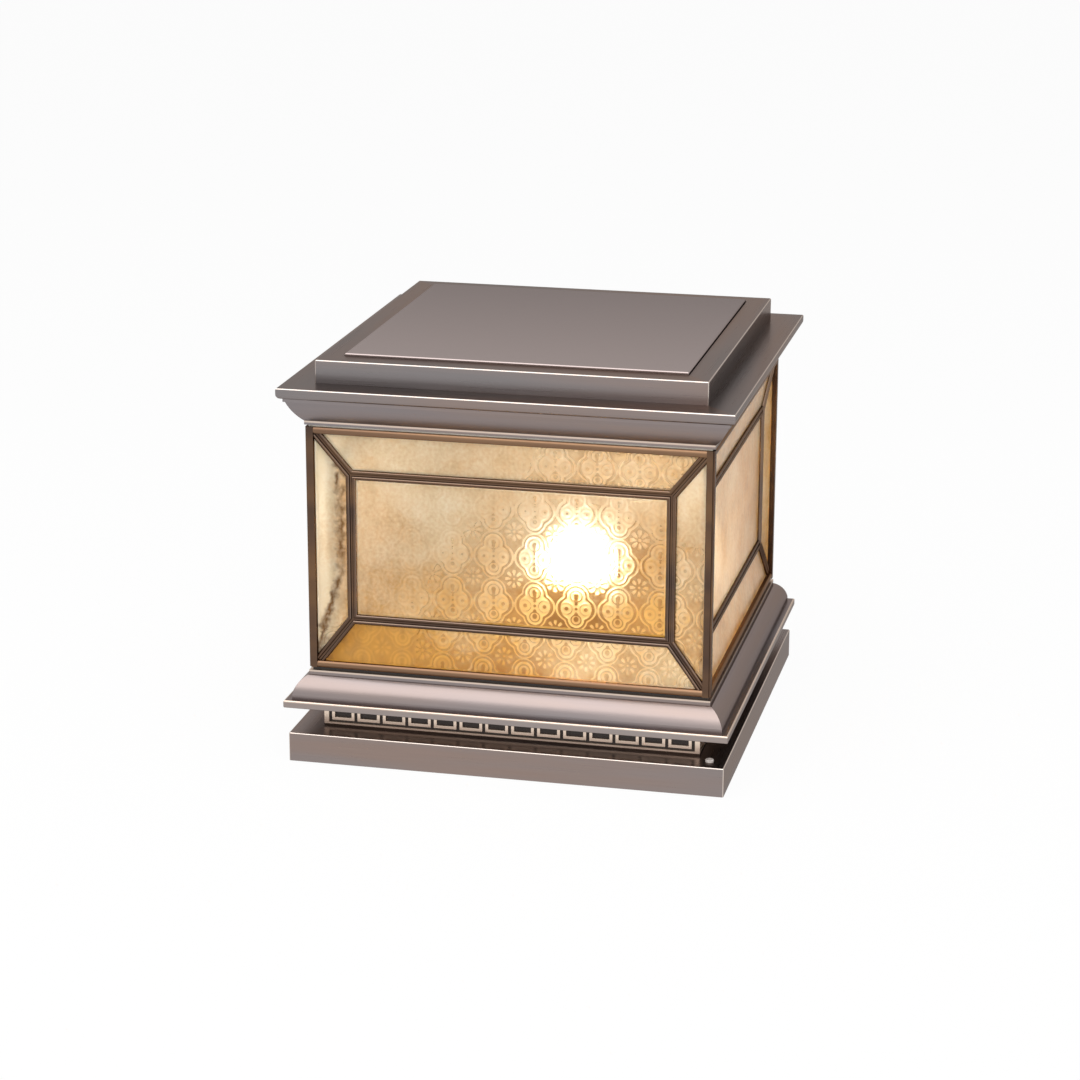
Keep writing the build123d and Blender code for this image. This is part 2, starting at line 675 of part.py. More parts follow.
# Solar panel
gasket_inner = panel - GASKET_WIDTH
backsheet_top = panel_bottom - CELL_THICKNESS
backsheet_bottom = backsheet_top - BACKSHEET_THICKNESS
backsheet = gasket_inner - BACKSHEET_PLAY


def make_panel_glass():
    cover = square(panel, panel_bottom, panel_top)
    return chamfer(cover.faces().sort_by(Axis.Z)[-1].edges(), PANEL_CHAMFER)


def make_solar_cells():
    pitch_x = 2 * backsheet / CELL_COLUMNS
    pitch_y = 2 * backsheet / CELL_ROWS
    cell = Box(pitch_x - CELL_GAP, pitch_y - CELL_GAP, CELL_THICKNESS)
    height = panel_bottom - CELL_THICKNESS / 2
    grid = GridLocations(pitch_x, pitch_y, CELL_COLUMNS, CELL_ROWS)
    return Compound(children=[Pos(0, 0, height) * place * cell for place in grid])


# Roof electronics, standing on the liner
board_x = BOARD_SIDE_INSET - cage
board_y = cage - BOARD_INSET
board_bottom = cornice_bottom + BOARD_STANDOFF
board_top = board_bottom + BOARD_THICKNESS
junction_bottom = backsheet_bottom - JUNCTION_HEIGHT
switch_x = SWITCH_SIDE_INSET - cage
switch_y = cage - SWITCH_INSET
liner_screw = cage - LINER_SCREW_INSET
liner_screw_points = [(0, -liner_screw), (liner_screw, 0), (0, liner_screw), (-liner_screw, 0)]


def make_roof_liner():
    plate = square(floor_half, cage_top, cornice_bottom)
    pin = PLUG_PIN_SIDE + 2 * FIT
    plate -= Pos(plug_x, lead_y, (cage_top + cornice_bottom) / 2) * Box(pin, pin, LINER_THICKNESS)
    plate -= rod(switch_x, switch_y, cage_top, cornice_bottom, SWITCH_BARREL_RADIUS + FIT)
    for x, y in liner_screw_points:
        plate -= rod(x, y, cage_top, cornice_bottom, SCREW_HOLE_DIAMETER / 2)
    return plate


def make_charge_controller():
    """A board on four standoffs, with the terminal block that takes the panel's lead."""
    half_x, half_y = BOARD_LENGTH / 2, BOARD_WIDTH / 2
    board = block(board_x - half_x, board_x + half_x, board_y - half_y, board_y + half_y,
                  board_bottom, board_top)
    for sx in (-1, 1):
        for sy in (-1, 1):
            x = board_x + sx * (half_x - STANDOFF_INSET)
            y = board_y + sy * (half_y - STANDOFF_INSET)
            board += rod(x, y, cornice_bottom, board_bottom, STANDOFF_RADIUS)
    side = TERMINAL_BLOCK
    return board + block(board_x - side, board_x + side, board_y - side, board_y + side,
                         board_top, board_top + side)


def make_junction_box():
    half_x, half_y = JUNCTION_LENGTH / 2, JUNCTION_WIDTH / 2
    box = block(board_x - half_x, board_x + half_x, board_y - half_y, board_y + half_y,
                junction_bottom, backsheet_bottom)
    return fillet(box.edges().filter_by(Axis.Z), JUNCTION_ROUND)


battery_pitch = 2 * (BATTERY_RADIUS + BATTERY_PLAY) + BATTERY_SPACING
battery_x = cage - BATTERY_SIDE_INSET
battery_y = cage - BATTERY_INSET
battery_z = cornice_bottom + CRADLE_RIM + BATTERY_RADIUS


def battery_cell(row, play):
    """One cylindrical cell lying along X in its trough."""
    length = BATTERY_LENGTH + 2 * play
    place = Pos(battery_x, battery_y + (row - 0.5) * battery_pitch, battery_z)
    return place * Rot(0, 90, 0) * Cylinder(BATTERY_RADIUS + play, length)


def make_battery_holder():
    half_x = BATTERY_LENGTH / 2 + BATTERY_PLAY + CRADLE_RIM
    half_y = battery_pitch + CRADLE_RIM
    cradle = block(battery_x - half_x, battery_x + half_x, battery_y - half_y, battery_y + half_y,
                   cornice_bottom, cornice_bottom + CRADLE_HEIGHT)
    for row in (0, 1):
        trough = battery_cell(row, BATTERY_PLAY)
        cradle -= trough + Pos(0, 0, BATTERY_RADIUS) * trough
    return cradle


# Push switch on the liner's underside
button_tip = cage_top - SWITCH_BEZEL_THICKNESS - BUTTON_PROUD
button_top = cage_top - SWITCH_BEZEL_THICKNESS + BUTTON_STEM


def make_switch_body():
    body = rod(switch_x, switch_y, cage_top, board_bottom, SWITCH_BARREL_RADIUS)
    body += rod(switch_x, switch_y, cage_top - SWITCH_BEZEL_THICKNESS, cage_top, SWITCH_BEZEL_RADIUS)
    bore = rod(switch_x, switch_y, cage_top - SWITCH_BEZEL_THICKNESS, button_top + BUTTON_TRAVEL + FIT,
               BUTTON_RADIUS + BUTTON_PLAY)
    return body - bore


def make_switch_button():
    button = rod(switch_x, switch_y, button_tip, button_top, BUTTON_RADIUS)
    return chamfer(button.edges().sort_by(Axis.Z)[0], BUTTON_CHAMFER)


def make_locating_tab():
    """An angle tab at the front right corner, just inside the rails."""
    outer = ledge_inner - TAB_PLAY
    start = outer - TAB_LENGTH
    angle = block(start, outer, -outer, -start, cage_top - TAB_DROP, cage_top)
    inside = outer - SHEET
    return angle - block(start, inside, -inside, -start, cage_top - TAB_DROP, cage_top)


# Screws
def make_screw(x, y, seat, length, up):
    """A pan-head screw: its head lies under or on the seat, and its shank points away from the head."""
    head_end = seat - up * SCREW_HEAD_HEIGHT
    tip = seat + up * length
    head = rod(x, y, min(seat, head_end), max(seat, head_end), SCREW_HEAD_DIAMETER / 2)
    return head + rod(x, y, min(seat, tip), max(seat, tip), SCREW_DIAMETER / 2)


def make_base_screws():
    tray_seat = tray_top - SHEET
    lower = [make_screw(x, y, tray_seat, 2 * SHEET + SCREW_TIP, 1) for x, y in neck_screw_points]
    upper_length = FLOOR_THICKNESS + SHEET + SCREW_TIP
    upper = [make_screw(x, y, floor_top, upper_length, -1) for x, y in neck_screw_points]
    return Compound(children=lower + upper)


def make_liner_screws():
    length = LINER_THICKNESS + SHEET + SCREW_TIP
    return Compound(children=[make_screw(x, y, cage_top, length, 1) for x, y in liner_screw_points])


# The whole lantern, one entry a node
nodes = {
    "base_tray": make_base_tray(),
    "fixing_sleeves": Compound(children=[make_fixing_sleeve(x, y) for x, y in fixing_points]),
    "neck_box": make_neck_box(),
    "cage_floor": make_cage_floor(),
    "bottom_rails": four_solids(make_rail(floor_top, opening_bottom, floor_top + RAIL_LEDGE_THICKNESS)),
    "top_rails": four_solids(make_rail(cage_top, opening_top, cage_top - RAIL_LEDGE_THICKNESS)),
    "lamp_holder": make_lamp_holder(),
    "holder_ring": make_holder_ring(),
    "bulb_cap": make_bulb_cap(),
    "bulb_body": make_bulb_body(),
    "bulb_globe": make_bulb_globe(),
    "led_board": make_led_board(),
    "base_socket": make_base_socket(),
    "lamp_lead": make_lamp_lead(),
    "base_screws": make_base_screws(),
    "roof_slab": make_roof_slab(),
    "roof_riser": make_roof_riser(),
    "panel_gasket": square_ring(panel, gasket_inner, ledge_top, panel_bottom),
    "panel_glass": make_panel_glass(),
    "solar_cells": make_solar_cells(),
    "panel_backsheet": square(backsheet, backsheet_bottom, backsheet_top),
    "junction_box": make_junction_box(),
    "panel_lead": rod(board_x, board_y, board_top + TERMINAL_BLOCK, junction_bottom, LEAD_DIAMETER / 2),
    "roof_liner": make_roof_liner(),
    "locating_tabs": four_solids(make_locating_tab()),
    "liner_screws": make_liner_screws(),
    "battery_holder": make_battery_holder(),
    "battery_cells": Compound(children=[battery_cell(row, 0) for row in (0, 1)]),
    "charge_controller": make_charge_controller(),
    "switch_body": make_switch_body(),
    "roof_plug": make_roof_plug(),
    "switch_button": make_switch_button(),
}
nodes |= four_sides("fret_band", make_fret_band())
nodes |= four_sides("lower_moulding", make_lower_moulding())
nodes |= four_sides("corner_post", make_corner_post(), CORNERS)
nodes |= four_sides("came_lattice", make_came_lattice())
nodes |= four_sides("centre_pane", make_centre_pane())
nodes |= four_sides("border_panes", Compound(children=[pane & mitre(FIT) for pane in make_border_panes()]))
nodes |= four_sides("cornice", make_cornice())

os.makedirs("parts", exist_ok=True)
for name, solid in nodes.items():
    export_step(solid, f"parts/{name}.step")
print(len(nodes), "nodes")
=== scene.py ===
# %% [markdown]
# # A solar pillar light
# The lamp stands on a gate pillar: a bronze tray and a dark neck, a lantern of amber glass set in metal
# cames, and a stepped bronze roof with a solar panel on top. The shape of every rigid piece comes from the
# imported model, which is loaded first and never moved. This lesson gives each piece its finish, presses the
# glass, lights the bulb and sets up the picture.

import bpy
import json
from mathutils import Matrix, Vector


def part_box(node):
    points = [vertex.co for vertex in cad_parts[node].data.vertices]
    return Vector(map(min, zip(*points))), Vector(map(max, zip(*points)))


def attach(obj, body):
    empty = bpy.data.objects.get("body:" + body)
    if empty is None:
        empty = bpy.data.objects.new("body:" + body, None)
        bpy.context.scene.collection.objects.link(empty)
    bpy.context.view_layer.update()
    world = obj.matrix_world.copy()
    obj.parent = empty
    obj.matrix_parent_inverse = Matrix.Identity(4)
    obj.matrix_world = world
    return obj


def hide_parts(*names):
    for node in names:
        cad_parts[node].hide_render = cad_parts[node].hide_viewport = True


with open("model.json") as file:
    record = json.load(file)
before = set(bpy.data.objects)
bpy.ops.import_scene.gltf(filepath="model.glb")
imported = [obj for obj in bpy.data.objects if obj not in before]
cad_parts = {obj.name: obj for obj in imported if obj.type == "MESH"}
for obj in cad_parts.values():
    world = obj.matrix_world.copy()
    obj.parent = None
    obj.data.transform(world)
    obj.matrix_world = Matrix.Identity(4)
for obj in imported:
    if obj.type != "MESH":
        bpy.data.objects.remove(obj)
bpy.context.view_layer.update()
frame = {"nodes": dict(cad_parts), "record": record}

# %% [markdown]
# ## Helpers
# Shaders and Geometry Nodes are both node trees. One small function adds a node, sets it up and links it, so
# that a tree reads as a list of steps. Where a node keeps several sockets of one name, it takes the one that
# is shown. Colours are written as they look on screen, and are turned to linear light here.

# %% Helpers for colours and nodes
import json
import math

import bpy
from mathutils import Matrix, Vector

MM = 0.001
FLOAT = "NodeSocketFloat"
VECTOR = "NodeSocketVector"
MATH = "ShaderNodeMath"
VECTOR_MATH = "ShaderNodeVectorMath"
COMBINE = "ShaderNodeCombineXYZ"
SEPARATE = "ShaderNodeSeparateXYZ"
MAP_RANGE = "ShaderNodeMapRange"
MIX = "ShaderNodeMix"
NOISE = "ShaderNodeTexNoise"
PRINCIPLED = "ShaderNodeBsdfPrincipled"
MATERIAL_OUTPUT = "ShaderNodeOutputMaterial"
SMOOTH = {"interpolation_type": "SMOOTHSTEP"}  # for a Map Range that eases in and out


def linear(code):
    """An sRGB hex colour as the linear values that shaders work in."""
    channels = [int(code[start:start + 2], 16) / 255 for start in (1, 3, 5)]
    return [c / 12.92 if c <= 0.04045 else ((c + 0.055) / 1.055) ** 2.4 for c in channels] + [1.0]


def add(tree, kind, feeds=None, **settings):
    """Add a node: its settings first, then each input, given as a value, a socket or a node."""
    node = tree.nodes.new(kind)
    for name, value in settings.items():
        setattr(node, name, value)
    for key, value in (feeds or {}).items():
        shown = [socket for socket in node.inputs if socket.enabled and socket.name == key]
        socket = shown[0] if shown else node.inputs[key]
        if isinstance(value, bpy.types.Node):
            value = next(output for output in value.outputs if output.enabled)
        if isinstance(value, bpy.types.NodeSocket):
            tree.links.new(value, socket)
        else:
            socket.default_value = value
    return node


def new_group(kind, name, takes, gives):
    """An empty node group with named inputs and outputs."""
    group = bpy.data.node_groups.new(name, kind)
    for label, socket in takes.items():
        group.interface.new_socket(label, in_out="INPUT", socket_type=socket)
    for label, socket in gives.items():
        group.interface.new_socket(label, in_out="OUTPUT", socket_type=socket)
    return group


def new_finish(name):
    """A material with an empty node tree."""
    material = bpy.data.materials.new(name)
    material.use_nodes = True
    material.node_tree.nodes.clear()
    return material, material.node_tree


def show(name, data):
    """A new object in the scene."""
    thing = bpy.data.objects.new(name, data)
    bpy.context.scene.collection.objects.link(thing)
    return thing


print("white is", linear("#ffffff")[:3])

# %% [markdown]
# ## Camera
# The picture is taken from the front, a little to the right and from above, with a long lens, so that the
# uprights stay nearly parallel. The camera is placed by the angle at which the light is seen, not by eye.

# %% Camera at the photograph's angle
AIM = Vector((-0.00908, 0.0, 0.12308))
AZIMUTH = math.radians(12.857)
ELEVATION = math.radians(16.724)
DISTANCE = 2.11264
ROLL = math.radians(0.174)
LENS_MM = 99.43

back = Vector((
    math.sin(AZIMUTH) * math.cos(ELEVATION),
    -math.cos(AZIMUTH) * math.cos(ELEVATION),
    math.sin(ELEVATION),
))
camera = show("camera", bpy.data.cameras.new("camera"))
camera.data.lens = LENS_MM
turned = (-back).to_track_quat("-Z", "Y").to_matrix().to_4x4()
rolled = Matrix.Rotation(ROLL, 4, "Z")
camera.matrix_world = Matrix.Translation(AIM + back * DISTANCE) @ turned @ rolled
bpy.context.scene.camera = camera
print("camera at", [round(v, 3) for v in camera.location])

# %% [markdown]
# ## Studio
# The light is shown on pure white. World and floor are white to the camera and to reflections, and dimmer to
# the rays that light the object, so that the background adds no glare. The floor is white card with a little
# matt paint, which keeps a faint shadow.

# %% World and floor
AMBIENT = 0.38      # strength of the world's light on the object
FLOOR_WHITE = 0.95  # share of white card in the floor
FLOOR_SIDE = 12.0
FLOOR_DROP = 0.5 * MM

bpy.context.scene.view_settings.view_transform = "Standard"


def seen_directly(tree):
    """1 for rays from the camera, from a reflection or through glass, and 0 for the rest."""
    path = add(tree, "ShaderNodeLightPath").outputs
    shiny = add(tree, MATH, {0: path["Is Glossy Ray"], 1: path["Is Transmission Ray"]}, operation="MAXIMUM")
    return add(tree, MATH, {0: path["Is Camera Ray"], 1: shiny}, operation="MAXIMUM")


world = bpy.data.worlds.new("white_studio")
world.use_nodes = True
sky = world.node_tree
sky.nodes.clear()
strength = add(sky, MAP_RANGE, {"Value": seen_directly(sky), "To Min": AMBIENT, "To Max": 1.0})
backdrop = add(sky, "ShaderNodeBackground", {"Color": linear("#ffffff"), "Strength": strength})
add(sky, "ShaderNodeOutputWorld", {"Surface": backdrop})
bpy.context.scene.world = world

floor_mesh = bpy.data.meshes.new("floor")
half = FLOOR_SIDE / 2
outline = [(-half, -half), (half, -half), (half, half), (-half, half)]
floor_mesh.from_pydata([(x, y, -FLOOR_DROP) for x, y in outline], [], [(0, 1, 2, 3)])
floor = show("floor", floor_mesh)

# White card with matt paint: no horizon, only a faint shadow under the tray
white_card, tree = new_finish("white_card")
paint = add(tree, "ShaderNodeBsdfDiffuse", {"Color": linear("#f4f4f4")})
card = add(tree, "ShaderNodeEmission", {"Color": linear("#ffffff"), "Strength": 1.0})
share = add(tree, MATH, {0: seen_directly(tree), 1: FLOOR_WHITE}, operation="MULTIPLY")
floor_look = add(tree, "ShaderNodeMixShader", {0: share, 1: paint, 2: card})
add(tree, MATERIAL_OUTPUT, {"Surface": floor_look})
floor_mesh.materials.append(white_card)
print("floor side in metres:", FLOOR_SIDE)

# %% [markdown]
# A large softbox stands in front and above, where the round of the lower moulding mirrors it as one broad
# band of light. A weak fill from the front right lifts the glass.

# %% Lamps
LAMPS = {
    "overhead_softbox": {"place": (0.0, -0.9, 1.8), "size": 2.4, "watts": 36.0},
    "front_fill": {"place": (0.5, -2.3, 1.0), "size": 1.2, "watts": 11.0},
}
for name, lamp in LAMPS.items():
    light = bpy.data.lights.new(name, "AREA")
    light.size = lamp["size"]
    light.energy = lamp["watts"]
    holder = show(name, light)
    holder.location = lamp["place"]
    holder.rotation_euler = (AIM - Vector(lamp["place"])).to_track_quat("-Z", "Y").to_euler()
print("lamps:", list(LAMPS))

# %% [markdown]
# ## Brushed bronze: the grain
# Tray, mouldings and roof are sheet brass, brushed, darkened to an antique bronze and lacquered. Brushing
# runs along each side and turns at the mitres, so the grain follows whichever of X and Y runs along the
# nearest side. A UV map could carry that, but a group that reads the place on the object needs no unwrapping
# and fits every metal piece.

# %% Grain that turns at the mitres
def place_mm(tree):
    """The place on the object, in millimetres."""
    spot = add(tree, "ShaderNodeTexCoord").outputs["Object"]
    return add(tree, VECTOR_MATH, {0: spot, "Scale": 1 / MM}, operation="SCALE")


mitred_grain = new_group("ShaderNodeTree", "mitred_grain", {}, {"Along Depth Height": VECTOR})
axes = add(mitred_grain, SEPARATE, {0: place_mm(mitred_grain)}).outputs
off_x = add(mitred_grain, MATH, {0: axes["X"]}, operation="ABSOLUTE")
off_y = add(mitred_grain, MATH, {0: axes["Y"]}, operation="ABSOLUTE")
on_side = add(mitred_grain, MATH, {0: off_x, 1: off_y}, operation="GREATER_THAN")
along = add(mitred_grain, MIX, {"Factor": on_side, "A": axes["X"], "B": axes["Y"]})
depth = add(mitred_grain, MATH, {0: off_x, 1: off_y}, operation="MAXIMUM")
grain_place = add(mitred_grain, COMBINE, {0: along, 1: depth, 2: axes["Z"]})
add(mitred_grain, "NodeGroupOutput", {0: grain_place})
print("grain group:", mitred_grain.name)

# %% [markdown]
# ## Brushed bronze: colour and painted highlights on the edges
# Lacquered bronze is never one colour: the darkening bath leaves cold slate and warm brown clouds, drawn out
# along the grain. On folded edges that face upwards a paler colour is painted. It is partly metal that the
# brush has cut through to and partly a painted highlight, which the eye reads as a bright line. A fold is
# found from the surface's own direction: on a flat face it points straight along one axis, on a fold between
# two.

# %% Clouds of the bath and painted highlights on the edges
CLOUD_MM = (260.0, 24.0, 24.0)  # drawn-out patches of the darkening bath
CLOUD_COLD, CLOUD_EVEN, CLOUD_WARM = 0.32, 0.5, 0.68  # noise levels at which a patch is cold, even or warm
FOLD_FLAT = 0.96    # a face that points closer than this to an axis is flat
FOLD_ROUND = 0.86   # a direction further from every axis than this is the middle of a fold
FOLD_IN_SHADE_BELOW = -0.05  # a fold that points lower than this is in shade and gets no painted highlight


def bath_clouds(tree, grain, colours):
    """Cold and warm patches along the grain."""
    cold, bath, warm = (linear(code) for code in colours)
    place = add(tree, VECTOR_MATH, {0: grain, 1: CLOUD_MM}, operation="DIVIDE")
    clouds = add(tree, NOISE, {"Vector": place, "Scale": 1.0, "Detail": 2.0})
    for level, colour in ((CLOUD_COLD, cold), (CLOUD_WARM, warm)):
        share = add(tree, MAP_RANGE, {"Value": clouds, "From Min": CLOUD_EVEN, "From Max": level})
        bath = add(tree, MIX, {"Factor": share, "A": bath, "B": colour}, data_type="RGBA")
    return bath


def edge_wear_and_highlight(tree, grain, fold_highlight, highlight_bands):
    """How much pale colour is painted, part bare metal and part painted highlight: on upward folds, and on
    level bands of a bottom, a top (in millimetres) and a share.
    """
    facing = add(tree, "ShaderNodeNewGeometry").outputs["Normal"]
    squared_up = add(tree, VECTOR_MATH, {0: facing}, operation="ABSOLUTE")
    parts = add(tree, SEPARATE, {0: squared_up}).outputs
    level = add(tree, MATH, {0: parts["X"], 1: parts["Y"]}, operation="MAXIMUM")
    nearest = add(tree, MATH, {0: level, 1: parts["Z"]}, operation="MAXIMUM")
    fold = add(tree, MAP_RANGE,
               {"Value": nearest, "From Min": FOLD_FLAT, "From Max": FOLD_ROUND, "To Max": fold_highlight})
    upwards = add(tree, SEPARATE, {0: facing}).outputs["Z"]
    # painted highlight: only folds that face upwards, towards the lamps, get the pale colour
    fold_faces_light = add(tree, MATH, {0: upwards, 1: FOLD_IN_SHADE_BELOW}, operation="GREATER_THAN")
    wear_and_highlight = add(tree, MATH, {0: fold, 1: fold_faces_light}, operation="MULTIPLY")
    height = add(tree, SEPARATE, {0: grain}).outputs["Z"]
    for bottom, top, share in highlight_bands:
        middle = (bottom + top) / 2
        band = add(tree, MATH, {0: height, 1: middle, 2: top - middle}, operation="COMPARE")
        band = add(tree, MATH, {0: band, 1: share}, operation="MULTIPLY")
        wear_and_highlight = add(tree, MATH, {0: wear_and_highlight, 1: band}, operation="MAXIMUM")
    return wear_and_highlight


print("patches of the bath in millimetres:", CLOUD_MM)

# %% [markdown]
# ## Brushed bronze: the finish
# Brush strokes change the colour, the gloss and, very slightly, the height of the surface. The lacquer dulls
# the metal where it is seen at a flat angle, which the shader's Specular Tint gives for a metal.

# %% The bronze shader
STROKE_MM = (70.0, 1.5, 1.5)  # brush strokes, coarser than real ones so that they show
STROKE_SPAN = {"From Min": 0.3, "From Max": 0.7}  # nearly all of the noise lies between these levels
STROKE_SHADE = {"To Min": 0.97, "To Max": 1.02}
STROKE_GLOSS = (-0.01, 0.02)  # how far a stroke takes the roughness down and up
STROKE_DEPTH = 0.01 * MM
STROKE_BUMP = 0.02
GRAZING = "#b2aca8"


def bronze(name, colours, bare_and_highlight, roughness, fold_highlight=0.0, highlight_bands=()):
    """Lacquered metal in cold to warm colours, and a pale edge colour that is part bare metal, part painted
    highlight.
    """
    material, tree = new_finish(name)
    grain = add(tree, "ShaderNodeGroup", node_tree=mitred_grain)
    place = add(tree, VECTOR_MATH, {0: grain, 1: STROKE_MM}, operation="DIVIDE")
    strokes = add(tree, NOISE, {"Vector": place, "Scale": 1.0, "Detail": 3.0})
    bath = bath_clouds(tree, grain, colours)
    wear_and_highlight = edge_wear_and_highlight(tree, grain, fold_highlight, highlight_bands)
    # painted highlight: the pale colour goes on where the folds and edge bands call for it
    metal = add(tree, MIX, {"Factor": wear_and_highlight, "A": bath, "B": linear(bare_and_highlight)}, data_type="RGBA")
    shade = add(tree, MAP_RANGE, {"Value": strokes} | STROKE_SPAN | STROKE_SHADE)
    brushed = add(tree, VECTOR_MATH, {0: metal, "Scale": shade}, operation="SCALE")
    gloss_span = {"To Min": roughness + STROKE_GLOSS[0], "To Max": roughness + STROKE_GLOSS[1]}
    gloss = add(tree, MAP_RANGE, {"Value": strokes} | STROKE_SPAN | gloss_span)
    bump = add(tree, "ShaderNodeBump", {"Height": strokes, "Strength": STROKE_BUMP, "Distance": STROKE_DEPTH})
    surface = add(tree, PRINCIPLED, {"Base Color": brushed, "Metallic": 1.0, "Roughness": gloss,
                                     "Normal": bump, "Specular Tint": linear(GRAZING)})
    add(tree, MATERIAL_OUTPUT, {"Surface": surface})
    return material


print("brush strokes in millimetres:", STROKE_MM)

# %% [markdown]
# The same bath and lacquer give five finishes. The mouldings get their painted highlights as bands at the
# height of their sharp edges, because their rounds would count as folds too. The fret is one wide pale band, a
# painted highlight against the shade under the lip, above a foot painted dark as shade.

# %% Five bronzes
EDGE_MM = 1.2       # height of the painted highlight along a moulding's edge
EDGE_HIGHLIGHT_SHARE = 0.6    # how strong the painted highlight is there, part bare metal
LIP_MM = 5.3        # height of the lip at the foot of the lower moulding
LIP_SHEEN_SHARE = 0.12    # how much pale colour the lip gets, a painted sheen
FILLET_MM = 2.7     # height of the fillet at the foot of the cornice
FRET_SHADED_FOOT_MM = 1.6  # lowest part of the fret, left dark as painted shade under the lip
# pale edge colour: part bare metal, part painted highlight
BARE_AND_HIGHLIGHT = "#f4e6da"
SHEET = ("#868181", "#8e8380", "#938179")

moulding_low, moulding_high = (corner.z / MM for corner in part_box("lower_moulding_front"))
fret_low, fret_high = (corner.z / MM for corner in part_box("fret_band_front"))
cornice_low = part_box("cornice_front")[0].z / MM
edge_tops = (moulding_high, moulding_low + LIP_MM, cornice_low + FILLET_MM)
edge_highlight_bands = [(top - EDGE_MM, top, EDGE_HIGHLIGHT_SHARE) for top in edge_tops]
edge_highlight_bands.append((moulding_low, moulding_low + LIP_MM, LIP_SHEEN_SHARE))

# Folded sheet: mauve grey, with long soft reflections and a pale line on every upward fold, part wear and part
# painted highlight
antique_bronze = bronze("antique_bronze", SHEET, BARE_AND_HIGHLIGHT, roughness=0.28, fold_highlight=0.6)
# Drawn mouldings: the same grey, with broad bands of light on the rounds and a crisp painted highlight on the
# edges
moulded_bronze = bronze("moulded_bronze", ("#888385", "#8e8381", "#93827a"), "#f6e0cc", roughness=0.3,
                        highlight_bands=edge_highlight_bands)
# Key fret: pale pink keys, a painted highlight against the lip's shade, over a foot painted dark as shade
fret_bronze_painted_light_and_shade = bronze("fret_bronze_painted_light_and_shade", ("#4c413b", "#52463e", "#584a40"), "#f2decb", roughness=0.3,
                         highlight_bands=[(fret_low + FRET_SHADED_FOOT_MM, fret_high, 1.0)])
# Rails of the cage: a redder brown with a low shine
rail_bronze = bronze("rail_bronze", ("#7e624e", "#886a52", "#927254"), BARE_AND_HIGHLIGHT, roughness=0.3)
# Cames and posts, left longest in the bath: nearly black, with a thin painted highlight along each upward bead
dark_bronze = bronze("dark_bronze", ("#54433a", "#664f3f", "#765a42"), "#b8a698", roughness=0.24, fold_highlight=0.22)
print("bright lines at heights in millimetres:", [round(top, 1) for top in edge_tops])

# %% [markdown]
# ## Pressed glass: a raised line
# The amber panes are rolled glass: one roller presses an old damask into the sheet, medallions with a rosette
# in each diamond between them. It could be a painted texture, but the relief bends the bulb's light and
# catches the sky, so the pattern is real geometry. Its smallest part is one raised line, at some distance
# from a middle or an edge, with a soft slope on both sides.

# %% A raised line
ridge = new_group("GeometryNodeTree", "raised_line",
                  {"Distance": FLOAT, "Middle": FLOAT, "Width": FLOAT}, {"Height": FLOAT})
given = add(ridge, "NodeGroupInput").outputs
off_line = add(ridge, MATH, {0: given["Distance"], 1: given["Middle"]}, operation="SUBTRACT")
off_line = add(ridge, MATH, {0: off_line}, operation="ABSOLUTE")
crest = add(ridge, MAP_RANGE, {"Value": off_line, "From Max": given["Width"], "To Min": 1.0, "To Max": 0.0},
            **SMOOTH)
add(ridge, "NodeGroupOutput", {0: crest})
print("group:", ridge.name)

# %% [markdown]
# ## Pressed glass: the forms of the ornament
# The ornament repeats, so it is worked out for one repeat only: the place on the pane is wrapped to the
# distance from the nearest medallion. The repeat is alike on its left and right, so a form needs only how far
# it stands to the side, how far up, and how much wider than high it is. All sizes are in millimetres.

# %% Forms of the damask
PITCH_ACROSS = 28.2
PITCH_UP = 32.7
FORMS = {
    "dome": {"across": 0.0, "up": 7.6, "stretch": 1.0},
    "belly": {"across": 0.0, "up": -1.4, "stretch": 1.32},
    "drop": {"across": 0.0, "up": -9.2, "stretch": 1.0},
    "eye": {"across": 6.6, "up": -1.6, "stretch": 1.0},
}

ornament = new_group("GeometryNodeTree", "damask_ornament", {"Across": FLOAT, "Up": FLOAT}, {"Height": FLOAT})
given = add(ornament, "NodeGroupInput").outputs
u = add(ornament, MATH, {0: given["Across"], 1: PITCH_ACROSS / 2, 2: -PITCH_ACROSS / 2}, operation="WRAP")
w = add(ornament, MATH, {0: given["Up"], 1: PITCH_UP / 2, 2: -PITCH_UP / 2}, operation="WRAP")
off_u = add(ornament, MATH, {0: u}, operation="ABSOLUTE")
off_w = add(ornament, MATH, {0: w}, operation="ABSOLUTE")
place = add(ornament, COMBINE, {0: off_u, 1: w})

away = {}
for name, form in FORMS.items():
    middle = (form["across"], form["up"], 0.0)
    point = add(ornament, VECTOR_MATH, {0: place, 1: middle}, operation="SUBTRACT")
    point = add(ornament, VECTOR_MATH, {0: point, 1: (form["stretch"], 1.0, 1.0)}, operation="DIVIDE")
    away[name] = add(ornament, VECTOR_MATH, {0: point}, operation="LENGTH")
print("forms:", list(away))

# %% [markdown]
# Three round lobes melt into the outline of a medallion. A row of beads runs down its middle, and the rosette
# sits on the corner of the repeat, with petals that come from a wave round its middle.

# %% Outline, beads and rosette
LOBES = {"dome": 6.2, "belly": 8.2, "drop": 5.4}  # radius of each lobe
LOBE_BLEND = 1.5
BEAD_PITCH = 3.4
PETALS = 8
PETAL_EDGE = {"From Min": -0.5, "From Max": 0.4}  # levels of the wave between which a petal rises

